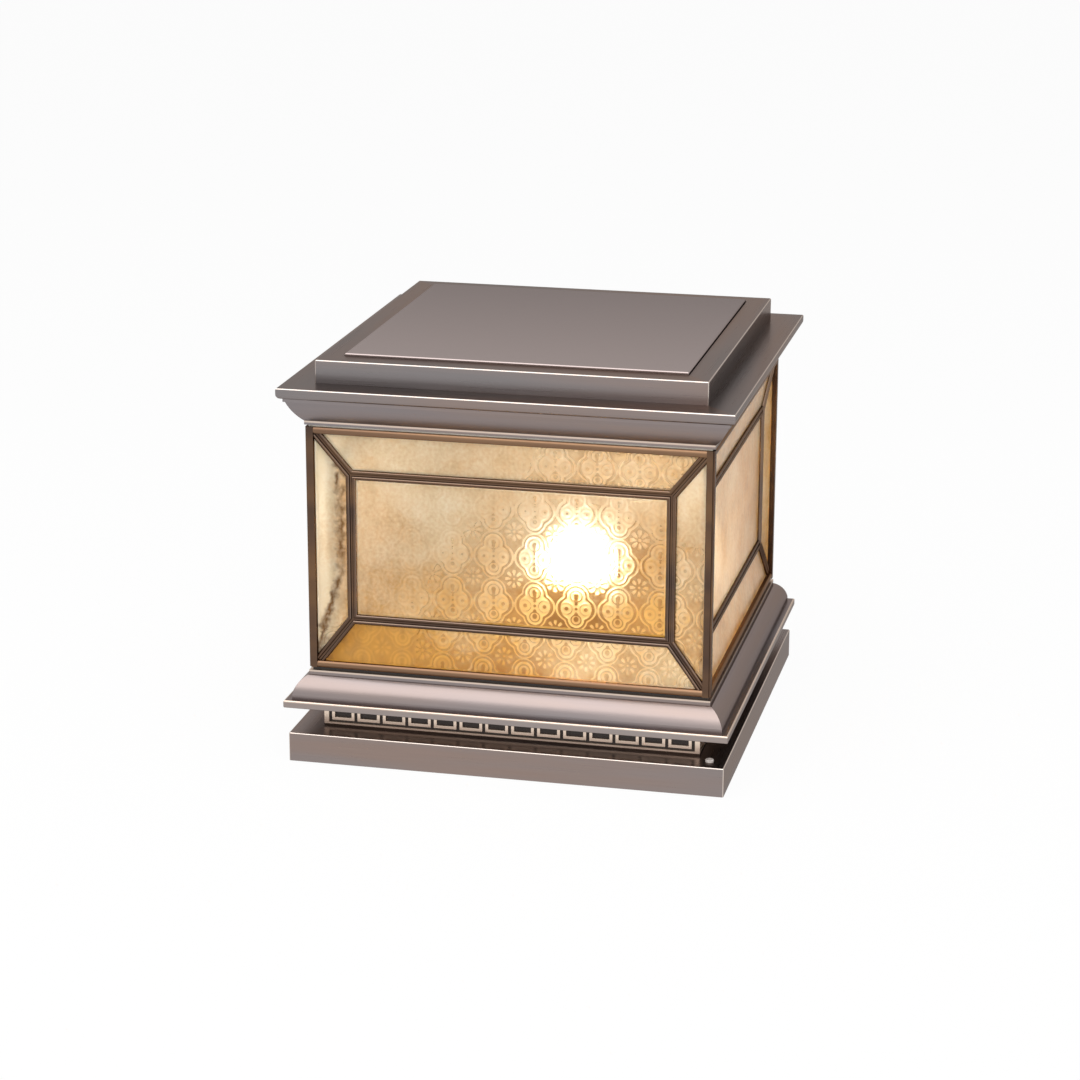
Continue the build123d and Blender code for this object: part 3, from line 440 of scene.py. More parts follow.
inside_lobe = {}
for name, radius in LOBES.items():
    inside_lobe[name] = add(ornament, MATH, {0: away[name], 1: radius}, operation="SUBTRACT")
upper_lobes = add(ornament, MATH, {0: inside_lobe["dome"], 1: inside_lobe["belly"], 2: LOBE_BLEND},
                  operation="SMOOTH_MIN")
away["medallion"] = add(ornament, MATH, {0: upper_lobes, 1: inside_lobe["drop"], 2: LOBE_BLEND},
                        operation="SMOOTH_MIN")

bead_up = add(ornament, MATH, {0: w, 1: FORMS["belly"]["up"]}, operation="SUBTRACT")
bead_up = add(ornament, MATH, {0: bead_up, 1: BEAD_PITCH / 2, 2: -BEAD_PITCH / 2}, operation="WRAP")
bead_place = add(ornament, COMBINE, {0: u, 1: bead_up})
away["bead"] = add(ornament, VECTOR_MATH, {0: bead_place}, operation="LENGTH")

rosette_across = add(ornament, MATH, {0: PITCH_ACROSS / 2, 1: off_u}, operation="SUBTRACT")
rosette_up = add(ornament, MATH, {0: PITCH_UP / 2, 1: off_w}, operation="SUBTRACT")
rosette_place = add(ornament, COMBINE, {0: rosette_across, 1: rosette_up})
away["rosette"] = add(ornament, VECTOR_MATH, {0: rosette_place}, operation="LENGTH")
turn = add(ornament, MATH, {0: rosette_up, 1: rosette_across}, operation="ARCTAN2")
turn = add(ornament, MATH, {0: turn, 1: float(PETALS)}, operation="MULTIPLY")
wave = add(ornament, MATH, {0: turn}, operation="COSINE")
spokes = add(ornament, MAP_RANGE, {"Value": wave} | PETAL_EDGE, **SMOOTH)
print("petals:", PETALS)

# %% [markdown]
# Every line of the ornament is now a raised line on one of these forms. The lines are added up to a height
# from 0, the bottom of a valley, to 1, the face of the sheet: rims, outlines and rosettes stand up, while
# rings, beads and eyes are holes in the medallion, which show as amber specks in front of the bulb.

# %% Height of the ornament
LINES = {  # the form, the distance from its middle or edge, and the width of the slope
    "rim": ("medallion", -0.6, 0.9),
    "outline": ("medallion", 1.9, 0.9),
    "dome_ring": ("dome", 4.0, 1.2),
    "drop_ring": ("drop", 3.4, 1.1),
    "dome_hole": ("dome", 0.0, 3.0),
    "drop_hole": ("drop", 0.0, 3.0),
    "eye_ring": ("eye", 4.0, 1.1),
    "eye_hole": ("eye", 0.0, 2.8),
    "bead_hole": ("bead", 0.0, 2.2),
    "petal": ("rosette", 4.4, 3.0),
    "heart": ("rosette", 0.0, 1.4),
}
BEAD_REACH = 10.0
LEVELS = {  # the plain height, and what each line adds to it
    "medallion": (0.8, {"rim": 0.2, "dome_ring": -0.6, "drop_ring": -0.6, "dome_hole": -0.8,
                        "drop_hole": -0.8, "eye_ring": -0.5, "eye_hole": -0.8, "bead_hole": -0.8}),
    "ground": (0.08, {"petal": 0.75, "heart": 0.75, "outline": 0.7}),
}
EDGE_SLOPE = 0.3

lines = {}
for name, (form, middle, width) in LINES.items():
    lines[name] = add(ornament, "GeometryNodeGroup",
                      {"Distance": away[form], "Middle": middle, "Width": width}, node_tree=ridge)
lines["petal"] = add(ornament, MATH, {0: lines["petal"], 1: spokes}, operation="MULTIPLY")
in_row = add(ornament, MATH, {0: off_w, 1: BEAD_REACH}, operation="LESS_THAN")
lines["bead_hole"] = add(ornament, MATH, {0: lines["bead_hole"], 1: in_row}, operation="MULTIPLY")

heights = {}
for level, (height, shares) in LEVELS.items():
    for name, share in shares.items():
        height = add(ornament, MATH, {0: lines[name], 1: share, 2: height}, operation="MULTIPLY_ADD")
    heights[level] = height
within = add(ornament, MAP_RANGE,
             {"Value": away["medallion"], "From Min": EDGE_SLOPE, "From Max": -EDGE_SLOPE}, **SMOOTH)
height = add(ornament, MIX, {"Factor": within, "A": heights["ground"], "B": heights["medallion"]})
bounded = add(ornament, "ShaderNodeClamp", {"Value": height})
add(ornament, "NodeGroupOutput", {0: bounded})
print("ornament nodes:", len(ornament.nodes))

# %% [markdown]
# ## Pressed glass: the sheet
# A pane is a flat sheet between four corners, cut to a rectangle or to a mitred strip. A grid is stretched
# over the corners, so that a strip's ends follow its mitres. The tree stands for the rolling mill: corners,
# thickness and everything else that differs from pane to pane are its inputs.

# %% The sheet between four corners
CORNERS = ("Bottom Left", "Bottom Right", "Top Left", "Top Right")
GRID_HALF = 0.5  # the grid starts one unit wide and high, about its middle

mill = new_group(
    "GeometryNodeTree", "rolled_pane",
    dict.fromkeys(CORNERS, VECTOR) |
    {"Thickness": FLOAT, "Mesh Step": FLOAT, "Mitre Play": FLOAT,
     "Relief Depth": FLOAT, "Flat Rim": FLOAT, "Slope Rim": FLOAT,
     "Medallion": VECTOR, "Deepest Spot": VECTOR, "Press Reach": FLOAT,
     "Melt Bottom": VECTOR, "Melt Top": VECTOR, "Chill Place": FLOAT, "Glass": "NodeSocketMaterial"},
    {"Pane": "NodeSocketGeometry"},
)
given = add(mill, "NodeGroupInput").outputs
wide = add(mill, VECTOR_MATH, {0: given["Bottom Right"], 1: given["Bottom Left"]}, operation="DISTANCE")
wide_top = add(mill, VECTOR_MATH, {0: given["Top Right"], 1: given["Top Left"]}, operation="DISTANCE")
tall = add(mill, VECTOR_MATH, {0: given["Top Left"], 1: given["Bottom Left"]}, operation="DISTANCE")
wide = add(mill, MATH, {0: wide, 1: wide_top}, operation="MAXIMUM")
columns = add(mill, MATH, {0: wide, 1: given["Mesh Step"]}, operation="DIVIDE")
rows = add(mill, MATH, {0: tall, 1: given["Mesh Step"]}, operation="DIVIDE")
sheet = add(mill, "GeometryNodeMeshGrid",
            {"Size X": 1.0, "Size Y": 1.0, "Vertices X": columns, "Vertices Y": rows})

position = add(mill, "GeometryNodeInputPosition")
flat = add(mill, SEPARATE, {0: position}).outputs
s = add(mill, MATH, {0: flat["X"], 1: GRID_HALF}, operation="ADD")
t = add(mill, MATH, {0: flat["Y"], 1: GRID_HALF}, operation="ADD")
lower = add(mill, MIX, {"Factor": s, "A": given["Bottom Left"], "B": given["Bottom Right"]},
            data_type="VECTOR")
upper = add(mill, MIX, {"Factor": s, "A": given["Top Left"], "B": given["Top Right"]}, data_type="VECTOR")
face = add(mill, MIX, {"Factor": t, "A": lower, "B": upper}, data_type="VECTOR")
print("nodes so far:", len(mill.nodes))

# %% [markdown]
# ## Pressed glass: the relief
# The roller presses hardest at one spot and fades away from it, so part of every sheet is nearly plain. A
# narrow rim stays flat, where the came grips the pane. The height is also kept as an attribute, because the
# shader needs it: valleys are clear and deep in colour, crests are frosted and pale.

# %% Pressing the sheet
WORN_PRESS = 0.1    # share of the relief that is left far from the deepest spot
PLAIN_HEIGHT = 0.6  # height of the sheet where the roller hardly presses

from_medallion = add(mill, VECTOR_MATH, {0: face, 1: given["Medallion"]}, operation="SUBTRACT")
from_medallion = add(mill, VECTOR_MATH, {0: from_medallion, "Scale": 1 / MM}, operation="SCALE")
part = add(mill, SEPARATE, {0: from_medallion}).outputs
pattern = add(mill, "GeometryNodeGroup", {"Across": part["X"], "Up": part["Z"]}, node_tree=ornament)
astray = add(mill, VECTOR_MATH, {0: face, 1: given["Deepest Spot"]}, operation="DISTANCE")
press = add(mill, MAP_RANGE,
            {"Value": astray, "From Min": given["Press Reach"], "From Max": 0.0, "To Min": WORN_PRESS},
            **SMOOTH)
pattern = add(mill, MIX, {"Factor": press, "A": PLAIN_HEIGHT, "B": pattern})

margins = []
for off_middle, span in ((flat["X"], wide), (flat["Y"], tall)):
    off_middle = add(mill, MATH, {0: off_middle}, operation="ABSOLUTE")
    margin = add(mill, MATH, {0: GRID_HALF, 1: off_middle}, operation="SUBTRACT")
    margins.append(add(mill, MATH, {0: margin, 1: span}, operation="MULTIPLY"))
margin = add(mill, MATH, {0: margins[0], 1: margins[1]}, operation="MINIMUM")
at_rim = add(mill, MAP_RANGE,
             {"Value": margin, "From Min": given["Flat Rim"], "From Max": given["Slope Rim"], "To Min": 1.0,
              "To Max": 0.0}, **SMOOTH)
pressing = add(mill, MATH, {0: pattern, 1: at_rim}, operation="MAXIMUM")
sunk = add(mill, MATH, {0: 1.0, 1: pressing}, operation="SUBTRACT")
sunk = add(mill, MATH, {0: sunk, 1: given["Relief Depth"]}, operation="MULTIPLY")
carve = add(mill, COMBINE, {"Y": sunk})
print("nodes so far:", len(mill.nodes))

# %% [markdown]
# Hand-made sheet differs in depth of colour from end to end, so each pane has a melt value at its four
# corners, 0 for thin and 1 for thick; on the front these values also carry painted light, as set out where the
# panes are cut. One pane also has a chill mark, the ragged dark line that is left where a sheet lay half on
# cold
# iron: it runs down the pane and bends out to the lower corner.

# %% Melt and chill mark
CHILL_FOOT = 0.15          # where the mark meets the pane's foot, as a share of the width
CHILL_BEND = (0.04, 0.38)  # shares of the height between which it bends
CHILL_WIDTH = 0.2
CHILL_WANDER = 0.6         # how far it strays from its line
CHILL_RAG_MM = 6.0         # size of its ragged bays
NOISE_MIDDLE = 0.5         # the level that a noise texture swings about

melt_bottom = add(mill, SEPARATE, {0: given["Melt Bottom"]}).outputs
melt_top = add(mill, SEPARATE, {0: given["Melt Top"]}).outputs
melt_low = add(mill, MIX, {"Factor": s, "A": melt_bottom["X"], "B": melt_bottom["Y"]})
melt_high = add(mill, MIX, {"Factor": s, "A": melt_top["X"], "B": melt_top["Y"]})
melt = add(mill, MIX, {"Factor": t, "A": melt_low, "B": melt_high})

rag = add(mill, NOISE, {"Vector": face, "Scale": 1 / (CHILL_RAG_MM * MM), "Detail": 3.0})
stray = add(mill, MATH, {0: rag, 1: NOISE_MIDDLE}, operation="SUBTRACT")
strayed = add(mill, MATH, {0: stray, 1: CHILL_WANDER, 2: s}, operation="MULTIPLY_ADD")
chill_line = add(mill, MAP_RANGE,
                 {"Value": t, "From Min": CHILL_BEND[0], "From Max": CHILL_BEND[1], "To Min": CHILL_FOOT,
                  "To Max": given["Chill Place"]}, **SMOOTH)
chill = add(mill, "GeometryNodeGroup",
            {"Distance": strayed, "Middle": chill_line, "Width": CHILL_WIDTH}, node_tree=ridge)
has_chill = add(mill, MATH, {0: given["Chill Place"], 1: 0.0}, operation="GREATER_THAN")
chill = add(mill, MATH, {0: chill, 1: has_chill}, operation="MULTIPLY")

noted = sheet
for name, value in {"pressing": pressing, "melt": melt, "chill": chill}.items():
    noted = add(mill, "GeometryNodeStoreNamedAttribute",
                {"Geometry": noted, "Name": name, "Value": value}, data_type="FLOAT", domain="POINT")
pressed = add(mill, "GeometryNodeSetPosition", {"Geometry": noted, "Position": face, "Offset": carve})
print("nodes so far:", len(mill.nodes))

# %% [markdown]
# ## Pressed glass: the rim
# The rim is drawn back to give the thickness and trimmed to the mitre with the next face. An attribute marks
# its inner end, because the inner side is fire polished and clear. Nothing stands proud of the nominal face:
# the ornament is only carved inwards.

# %% Drawing back the rim
RIM_FACES = 1.5  # an edge with fewer faces than this lies on the rim

edge_faces = add(mill, "GeometryNodeInputMeshEdgeNeighbors")
is_open = add(mill, MATH, {0: edge_faces, 1: RIM_FACES}, operation="LESS_THAN")
inwards = add(mill, COMBINE, {"Y": given["Thickness"]})
rim_wall = add(mill, "GeometryNodeExtrudeMesh",
               {"Mesh": pressed, "Selection": is_open, "Offset": inwards, "Offset Scale": 1.0}, mode="EDGES")
rim_end, rim_side = rim_wall.outputs["Top"], rim_wall.outputs["Side"]
where = add(mill, SEPARATE, {0: position}).outputs
reach = add(mill, MATH, {0: where["Y"]}, operation="ABSOLUTE")
reach = add(mill, MATH, {0: reach, 1: given["Mitre Play"]}, operation="SUBTRACT")
reach_left = add(mill, MATH, {0: reach, 1: -1.0}, operation="MULTIPLY")
trimmed = add(mill, MATH, {0: where["X"], 1: reach}, operation="MINIMUM")
trimmed = add(mill, MATH, {0: trimmed, 1: reach_left}, operation="MAXIMUM")
trimmed = add(mill, COMBINE, {0: trimmed, 1: where["Y"], 2: where["Z"]})
mitred = add(mill, "GeometryNodeSetPosition",
             {"Geometry": rim_wall, "Selection": rim_end, "Position": trimmed})
marked = add(mill, "GeometryNodeStoreNamedAttribute",
             {"Geometry": mitred, "Name": "inner_face", "Value": rim_end}, data_type="FLOAT", domain="POINT")
print("nodes so far:", len(mill.nodes))

# %% [markdown]
# ## Pressed glass: the back
# The flat inner side could be a second grid, but gathering the rim to one point closes the sheet with few
# faces. The pressed face is shaded smooth and the walls flat.

# %% Closing the pane
MERGE_REACH = 0.01 * MM

back_wall = add(mill, "GeometryNodeExtrudeMesh",
                {"Mesh": marked, "Selection": rim_end, "Offset Scale": 0.0}, mode="EDGES")
back_end, back_side = back_wall.outputs["Top"], back_wall.outputs["Side"]
middle = given[CORNERS[0]]
for name in CORNERS[1:]:
    middle = add(mill, VECTOR_MATH, {0: middle, 1: given[name]}, operation="ADD")
middle = add(mill, VECTOR_MATH, {0: middle, "Scale": 1 / len(CORNERS)}, operation="SCALE")
middle = add(mill, VECTOR_MATH, {0: middle, 1: inwards}, operation="ADD")
gathered = add(mill, "GeometryNodeSetPosition",
               {"Geometry": back_wall, "Selection": back_end, "Position": middle})
closed = add(mill, "GeometryNodeMergeByDistance",
             {"Geometry": gathered, "Selection": back_end, "Distance": MERGE_REACH})
flat_walls = add(mill, "FunctionNodeBooleanMath", {0: rim_side, 1: back_side}, operation="OR")
smooth = add(mill, "GeometryNodeSetShadeSmooth", {"Geometry": closed, "Shade Smooth": True})
shaded = add(mill, "GeometryNodeSetShadeSmooth",
             {"Geometry": smooth, "Selection": flat_walls, "Shade Smooth": False})
real = add(mill, "GeometryNodeRealizeInstances", {"Geometry": shaded})
glazed = add(mill, "GeometryNodeSetMaterial", {"Geometry": real, "Material": given["Glass"]})
add(mill, "NodeGroupOutput", {0: glazed})
print("nodes of a pane:", len(mill.nodes))

# %% [markdown]
# ## Amber glass: colour
# The glass is cathedral glass, tinted honey in the melt and frosted on the pressed side. Where the melt is
# thick it is deep amber, and where it is thin it is cream. Two sets of colours are needed: what the studio
# shows on the frosted skin, and what the bulb shows through the body of the sheet.

# %% Colours of the glass
CLOUDS_MM = 40.0              # patches where the melt is thicker or thinner
CLOUD_SHARE = 1.3             # how much the patches change the melt
GRIT_MM = 2.5                 # pitting from the roller, as coarse as it needs to be to show
GRIT_SHARE = 0.6              # how much the pitting changes the melt
STREAK_MM = (5.0, 5.0, 11.0)  # drips, drawn out as the sheet was pulled
STREAK_SHARE = 0.55           # how far a drip takes a crest back to the valley's colour
STREAK_SPAN = {"From Min": 0.45, "From Max": 0.7}  # noise levels between which a drip sets in
DAPPLE_SPAN = {"From Min": 0.35, "From Max": 0.6, "To Min": 0.45}  # how the drips break up the chill mark
CHILL_BROWN = "#6a4516"
MELT_COLOURS = {  # thin and thick melt, in a valley and on a crest
    "frost": {"valley": ("#eed8a8", "#8e5204"), "crest": ("#fdf2da", "#e9a626")},
    "body": {"valley": ("#e0bc78", "#a05e08"), "crest": ("#fffaf0", "#ffe294")},
}

# Cathedral glass, rolled and frosted: a honey glow, pale on the crests and deep amber in the valleys
amber_glass, tree = new_finish("amber_cathedral_glass")
noted = {}
for name in ("pressing", "melt", "chill", "inner_face"):
    noted[name] = add(tree, "ShaderNodeAttribute", attribute_name=name).outputs["Fac"]
spot_mm = place_mm(tree)
haze = add(tree, NOISE, {"Vector": spot_mm, "Scale": 1 / CLOUDS_MM, "Detail": 5.0, "Roughness": 0.6})
grit = add(tree, NOISE, {"Vector": spot_mm, "Scale": 1 / GRIT_MM, "Detail": 2.0})
melt = noted["melt"]
for noise, share in ((haze, CLOUD_SHARE), (grit, GRIT_SHARE)):
    swing = add(tree, MATH, {0: noise, 1: NOISE_MIDDLE}, operation="SUBTRACT")
    melt = add(tree, MATH, {0: swing, 1: share, 2: melt}, operation="MULTIPLY_ADD")
streak_place = add(tree, VECTOR_MATH, {0: spot_mm, 1: STREAK_MM}, operation="DIVIDE")
streaks = add(tree, NOISE, {"Vector": streak_place, "Scale": 1.0, "Detail": 3.0})
worn = add(tree, MAP_RANGE, {"Value": streaks, "To Max": STREAK_SHARE} | STREAK_SPAN)
dapple = add(tree, MAP_RANGE, {"Value": streaks} | DAPPLE_SPAN)
chill = add(tree, MATH, {0: noted["chill"], 1: dapple}, operation="MULTIPLY")

colours = {}
for layer, levels in MELT_COLOURS.items():
    for level, (thin, thick) in levels.items():
        colours[layer, level] = add(tree, MIX, {"Factor": melt, "A": linear(thin), "B": linear(thick)},
                                    data_type="RGBA")
    colours[layer] = add(tree, MIX, {"Factor": noted["pressing"], "A": colours[layer, "valley"],
                                     "B": colours[layer, "crest"]}, data_type="RGBA")
frost = add(tree, MIX, {"Factor": worn, "A": colours["frost"], "B": colours["frost", "valley"]},
            data_type="RGBA")
frost = add(tree, MIX, {"Factor": chill, "A": frost, "B": linear(CHILL_BROWN)}, data_type="RGBA")
tint = add(tree, MIX, {"Factor": chill, "A": colours["body"], "B": linear(CHILL_BROWN)}, data_type="RGBA")
tint = add(tree, MIX, {"Factor": noted["inner_face"], "A": tint, "B": linear("#ffffff")}, data_type="RGBA")
print("glass colours:", len(colours))

# %% [markdown]
# ## Amber glass: shader
# The sheet is part clear and part milky: a see-through share lets the bulb blaze through the relief, and
# a scattering share makes the whole pane glow. Crests scatter widely and turn white around the bulb, valleys
# stay clear and amber. Lamps shine straight through a tinted Transparent shader, which saves slow caustics.

# %% Amber glass
VALLEY_ROUGH, CREST_ROUGH, INNER_ROUGH, SKIN_ROUGH = 0.12, 0.52, 0.05, 0.35
GLASS_IOR = 1.5
SEEN_THROUGH = 0.42  # share of the sheet that shows the inside, the rest is frosted skin
MILK = 0.06          # share of that which scatters
SKIN_SHINE = 0.3     # frost takes part of the gloss away
GRIT_DEPTH = 0.2 * MM
GRIT_BUMP = 0.25

bump = add(tree, "ShaderNodeBump", {"Height": grit, "Strength": GRIT_BUMP, "Distance": GRIT_DEPTH})
skin = add(tree, PRINCIPLED, {"Base Color": frost, "Roughness": SKIN_ROUGH, "IOR": GLASS_IOR, "Normal": bump,
                              "Specular IOR Level": SKIN_SHINE})
rough = add(tree, MAP_RANGE, {"Value": noted["pressing"], "To Min": VALLEY_ROUGH, "To Max": CREST_ROUGH})
rough = add(tree, MIX, {"Factor": noted["inner_face"], "A": rough, "B": INNER_ROUGH})
clear = add(tree, PRINCIPLED, {"Base Color": tint, "Roughness": rough, "IOR": GLASS_IOR,
                               "Transmission Weight": 1.0})
milky = add(tree, "ShaderNodeBsdfTranslucent", {"Color": tint})
milk = add(tree, MAP_RANGE, {"Value": noted["inner_face"], "To Min": MILK, "To Max": 0.0})
lit = add(tree, "ShaderNodeMixShader", {0: milk, 1: clear, 2: milky})
see_through = add(tree, MAP_RANGE, {"Value": noted["inner_face"], "To Min": SEEN_THROUGH, "To Max": 1.0})
body = add(tree, "ShaderNodeMixShader", {0: see_through, 1: skin, 2: lit})
shadow = add(tree, "ShaderNodeLightPath").outputs["Is Shadow Ray"]
through = add(tree, "ShaderNodeBsdfTransparent", {"Color": tint})
glass = add(tree, "ShaderNodeMixShader", {0: shadow, 1: body, 2: through})
add(tree, MATERIAL_OUTPUT, {"Surface": glass})
print("glass:", amber_glass.name, "nodes:", len(tree.nodes))

# %% [markdown]
# ## Cutting the panes
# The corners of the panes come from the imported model: the centre pane's box, the border's outer box, and the
# core of the came that stands between them. Each border strip ends on the mitre line from the outer corner to
# the inner one, less half a core.

# %% Corners of the panes
CAME_CORE = 1.4 * MM

low_in, high_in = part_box("centre_pane_front")
low_out, high_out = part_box("border_panes_front")
glass_thickness = high_in.y - low_in.y
front_in = low_in.y
front_out = low_out.y
inner_x = high_in.x + CAME_CORE / 2
outer_x = high_out.x
run = outer_x - inner_x
inner_z = {"bottom": low_in.z - CAME_CORE / 2, "top": high_in.z + CAME_CORE / 2}
outer_z = {"bottom": low_out.z, "top": high_out.z}


def strip_corner(level, side, end, inner):
    """A corner of a level or upright strip, at a side and end of the face, on its inner or outer edge."""
    rise = inner_z[end] - outer_z[end]
    slant = CAME_CORE / 2 * math.hypot(rise, run)
    share = 1 - CAME_CORE / 2 / abs(rise if level else run) if inner else 0.0
    trim_x = slant / abs(rise) if level else 0.0
    trim_z = 0.0 if level else math.copysign(slant / run, rise)
    x = side * (outer_x - run * share - trim_x)
    return Vector((x, front_out + (front_in - front_out) * share, outer_z[end] + rise * share + trim_z))


OUTSIDE_FIRST, INSIDE_FIRST = (False, True), (True, False)
pane_corners = {  # in the order of CORNERS
    "centre": [Vector((x, front_in, z)) for z in (low_in.z, high_in.z) for x in (low_in.x, high_in.x)],
}
for end, edges in (("bottom", OUTSIDE_FIRST), ("top", INSIDE_FIRST)):
    pane_corners[end] = [strip_corner(True, side, end, inner) for inner in edges for side in (-1, 1)]
for name, side, edges in (("left", -1, OUTSIDE_FIRST), ("right", 1, INSIDE_FIRST)):
    pane_corners[name] = [strip_corner(False, side, end, inner) for end in outer_z for inner in edges]
print("front face at y", round(front_in / MM, 2), "mm, rim at", round(front_out / MM, 2), "mm")

# %% [markdown]
# Each pane was cut from another place of the sheet, so each has its own medallion, deepest spot and melt.
# On the front, thin melt and shallow pressing leave the upper left pale, partly a painted reflection of the
# sky, and the deepest spots lie low and to the right, towards the bulb, so the amber contrast there is partly
# a painted glow. Places are given across and up the front face, in millimetres.

# %% Rolling one pane
MESH_STEP = 0.6 * MM
MITRE_PLAY = 0.3 * MM
RELIEF_DEPTH = 0.4 * MM
FLAT_RIM = 3.4 * MM
SLOPE_RIM = 4.4 * MM
NO_CHILL = -1.0
EVEN_MELT = 0.7  # melt of a plain sheet
CUTS = {  # melt values are in the order of CORNERS
    "centre": {"medallion": (17.1, 118.4), "deepest": (38.0, 90.0), "reach": 170.0,
               "melt": (0.6, 1.35, 0.1, 0.4)},
    "bottom": {"medallion": (10.6, 97.0), "deepest": (50.0, 82.0), "reach": 190.0,
               "melt": (1.4, 0.45, 1.1, 0.45)},
    "top": {"medallion": (3.0, 216.0), "deepest": (85.0, 190.0), "reach": 125.0,
            "melt": (0.1, 0.7, 0.15, 0.55)},
    "left": {"medallion": (-122.0, 140.0), "deepest": (-110.0, 60.0), "reach": 60.0,
             "melt": (-0.1, 0.8, -0.2, 0.7), "chill": 0.72},
    "right": {"medallion": (112.0, 118.0), "deepest": (118.0, 120.0), "reach": 80.0,
              "melt": (0.8, 0.75, 0.1, 0.05)},
}


def roll(name, share):
    """Roll one pane of the front face as a plain mesh, with a share of its relief, melt and mark."""
    cut = CUTS[name]
    melt = [EVEN_MELT + (value - EVEN_MELT) * share for value in cut["melt"]]
    values = dict(zip(CORNERS, pane_corners[name])) | {
        "Thickness": glass_thickness, "Mesh Step": MESH_STEP, "Mitre Play": MITRE_PLAY,
        "Relief Depth": RELIEF_DEPTH, "Flat Rim": FLAT_RIM, "Slope Rim": SLOPE_RIM,
        "Medallion": Vector((cut["medallion"][0], 0.0, cut["medallion"][1])) * MM,
        "Deepest Spot": Vector((cut["deepest"][0] * MM, front_in, cut["deepest"][1] * MM)),
        "Press Reach": cut["reach"] * MM * share,
        "Melt Bottom": Vector((*melt[:2], 0.0)), "Melt Top": Vector((*melt[2:], 0.0)),
        "Chill Place": cut.get("chill", NO_CHILL) if share else NO_CHILL, "Glass": amber_glass,
    }
    blank = show(name, bpy.data.meshes.new(name))
    modifier = blank.modifiers.new("roll", "NODES")
    modifier.node_group = mill
    for item in mill.interface.items_tree:
        if item.in_out == "INPUT":
            modifier[item.identifier] = values[item.name]
    graph = bpy.context.evaluated_depsgraph_get()
    mesh = bpy.data.meshes.new_from_object(blank.evaluated_get(graph), preserve_all_data_layers=True,
                                           depsgraph=graph)
    bpy.data.objects.remove(blank)
    return mesh


print("panes on a face:", list(CUTS))

# %% [markdown]
# All faces are rolled as the front one and then turned to their side. The right face is nearly plain, of an
# even honey colour, so its share of relief, melt and mark is nought.

# %% Panes for the four faces
import bmesh

FACE_SHARES = {"front": 1.0, "right": 0.0, "back": 1.0, "left": 1.0}
GLASS_PIECES = {
    "centre_glass": {"cuts": ("centre",), "replaces": "centre_pane"},
    "border_glass": {"cuts": ("bottom", "top", "left", "right"), "replaces": "border_panes"},
}
for kind, piece in GLASS_PIECES.items():
    for quarter_turns, (side, share) in enumerate(FACE_SHARES.items()):
        joined = bmesh.new()
        for cut in piece["cuts"]:
            joined.from_mesh(roll(cut, share))
        bmesh.ops.recalc_face_normals(joined, faces=joined.faces)
        mesh = bpy.data.meshes.new(f"{kind}_{side}")
        joined.to_mesh(mesh)
        joined.free()
        mesh.transform(Matrix.Rotation(quarter_turns * math.pi / 2, 4, "Z"))
        mesh.materials.append(amber_glass)
        pane = show(f"{kind}_{side}", mesh)
        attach(pane, "base")
        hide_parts(f"{piece['replaces']}_{side}")
    print(kind, "triangles a face:", sum(len(polygon.vertices) - 2 for polygon in mesh.polygons))

# %% [markdown]
# ## Glowing bulb
# A frosted globe over a ring of diodes looks like an even ball of light. It is given as a warm emission from
# the globe, strong enough that the camera sees white through the glass, as it would on a real exposure.

# %% Frosted globe
GLOBE_GLOW = 27.0

# Frosted glass lit from within: an even warm white with no highlight of its own
frosted_globe, tree = new_finish("frosted_globe_glass")
globe = add(tree, PRINCIPLED, {
    "Base Color": linear("#fdf3de"), "Roughness": 0.45,
    "Emission Color": linear("#fff4e0"), "Emission Strength": GLOBE_GLOW,
})
add(tree, MATERIAL_OUTPUT, {"Surface": globe})
print("globe glow:", GLOBE_GLOW)

# %% [markdown]
# ## Cover of the solar panel
# The panel's cover is glass with a bronze coating that hides the cells, so the roof looks like one piece of
# metal. Such a coating is a thin metal film: it mirrors the sky softly. Its colour is painted darker towards
# the back and paler towards the front, a painted reflection.

# %% Bronze coated cover glass
# painted reflection: darker at the back, paler at the front
COVER_BACK, COVER_FRONT = "#776a68", "#a09390"
COVER_GRAZING = "#cdc8c6"
cover_low, cover_high = (corner.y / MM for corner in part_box("panel_glass"))

# Coated glass: smoother and a little paler than the sheet round it, with a painted reflection fading from
# front to back
cover_glass, tree = new_finish("bronze_coated_cover_glass")
depth = add(tree, SEPARATE, {0: place_mm(tree)}).outputs["Y"]
painted_reflection_nearness = add(tree, MAP_RANGE, {"Value": depth, "From Min": cover_high, "From Max": cover_low})
colour = add(tree, MIX, {"Factor": painted_reflection_nearness, "A": linear(COVER_BACK), "B": linear(COVER_FRONT)},
             data_type="RGBA")
surface = add(tree, PRINCIPLED, {"Base Color": colour, "Metallic": 1.0, "Roughness": 0.25,
                                 "Specular Tint": linear(COVER_GRAZING)})
add(tree, MATERIAL_OUTPUT, {"Surface": surface})
print("cover from", round(cover_low, 1), "to", round(cover_high, 1), "mm")

# %% [markdown]
# ## Reflector plate
# The plate under the bulb is enamelled white to throw the light up. Its rim, which shows from outside in the
# joint above the moulding, is painted black as painted shade. One finish goes from white to black at a
# distance from the middle.

# %% Two-coloured enamel
SHADED_RIM_MM = 5.0  # width of the rim painted black as shade
plate_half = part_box("cage_floor")[1].x / MM

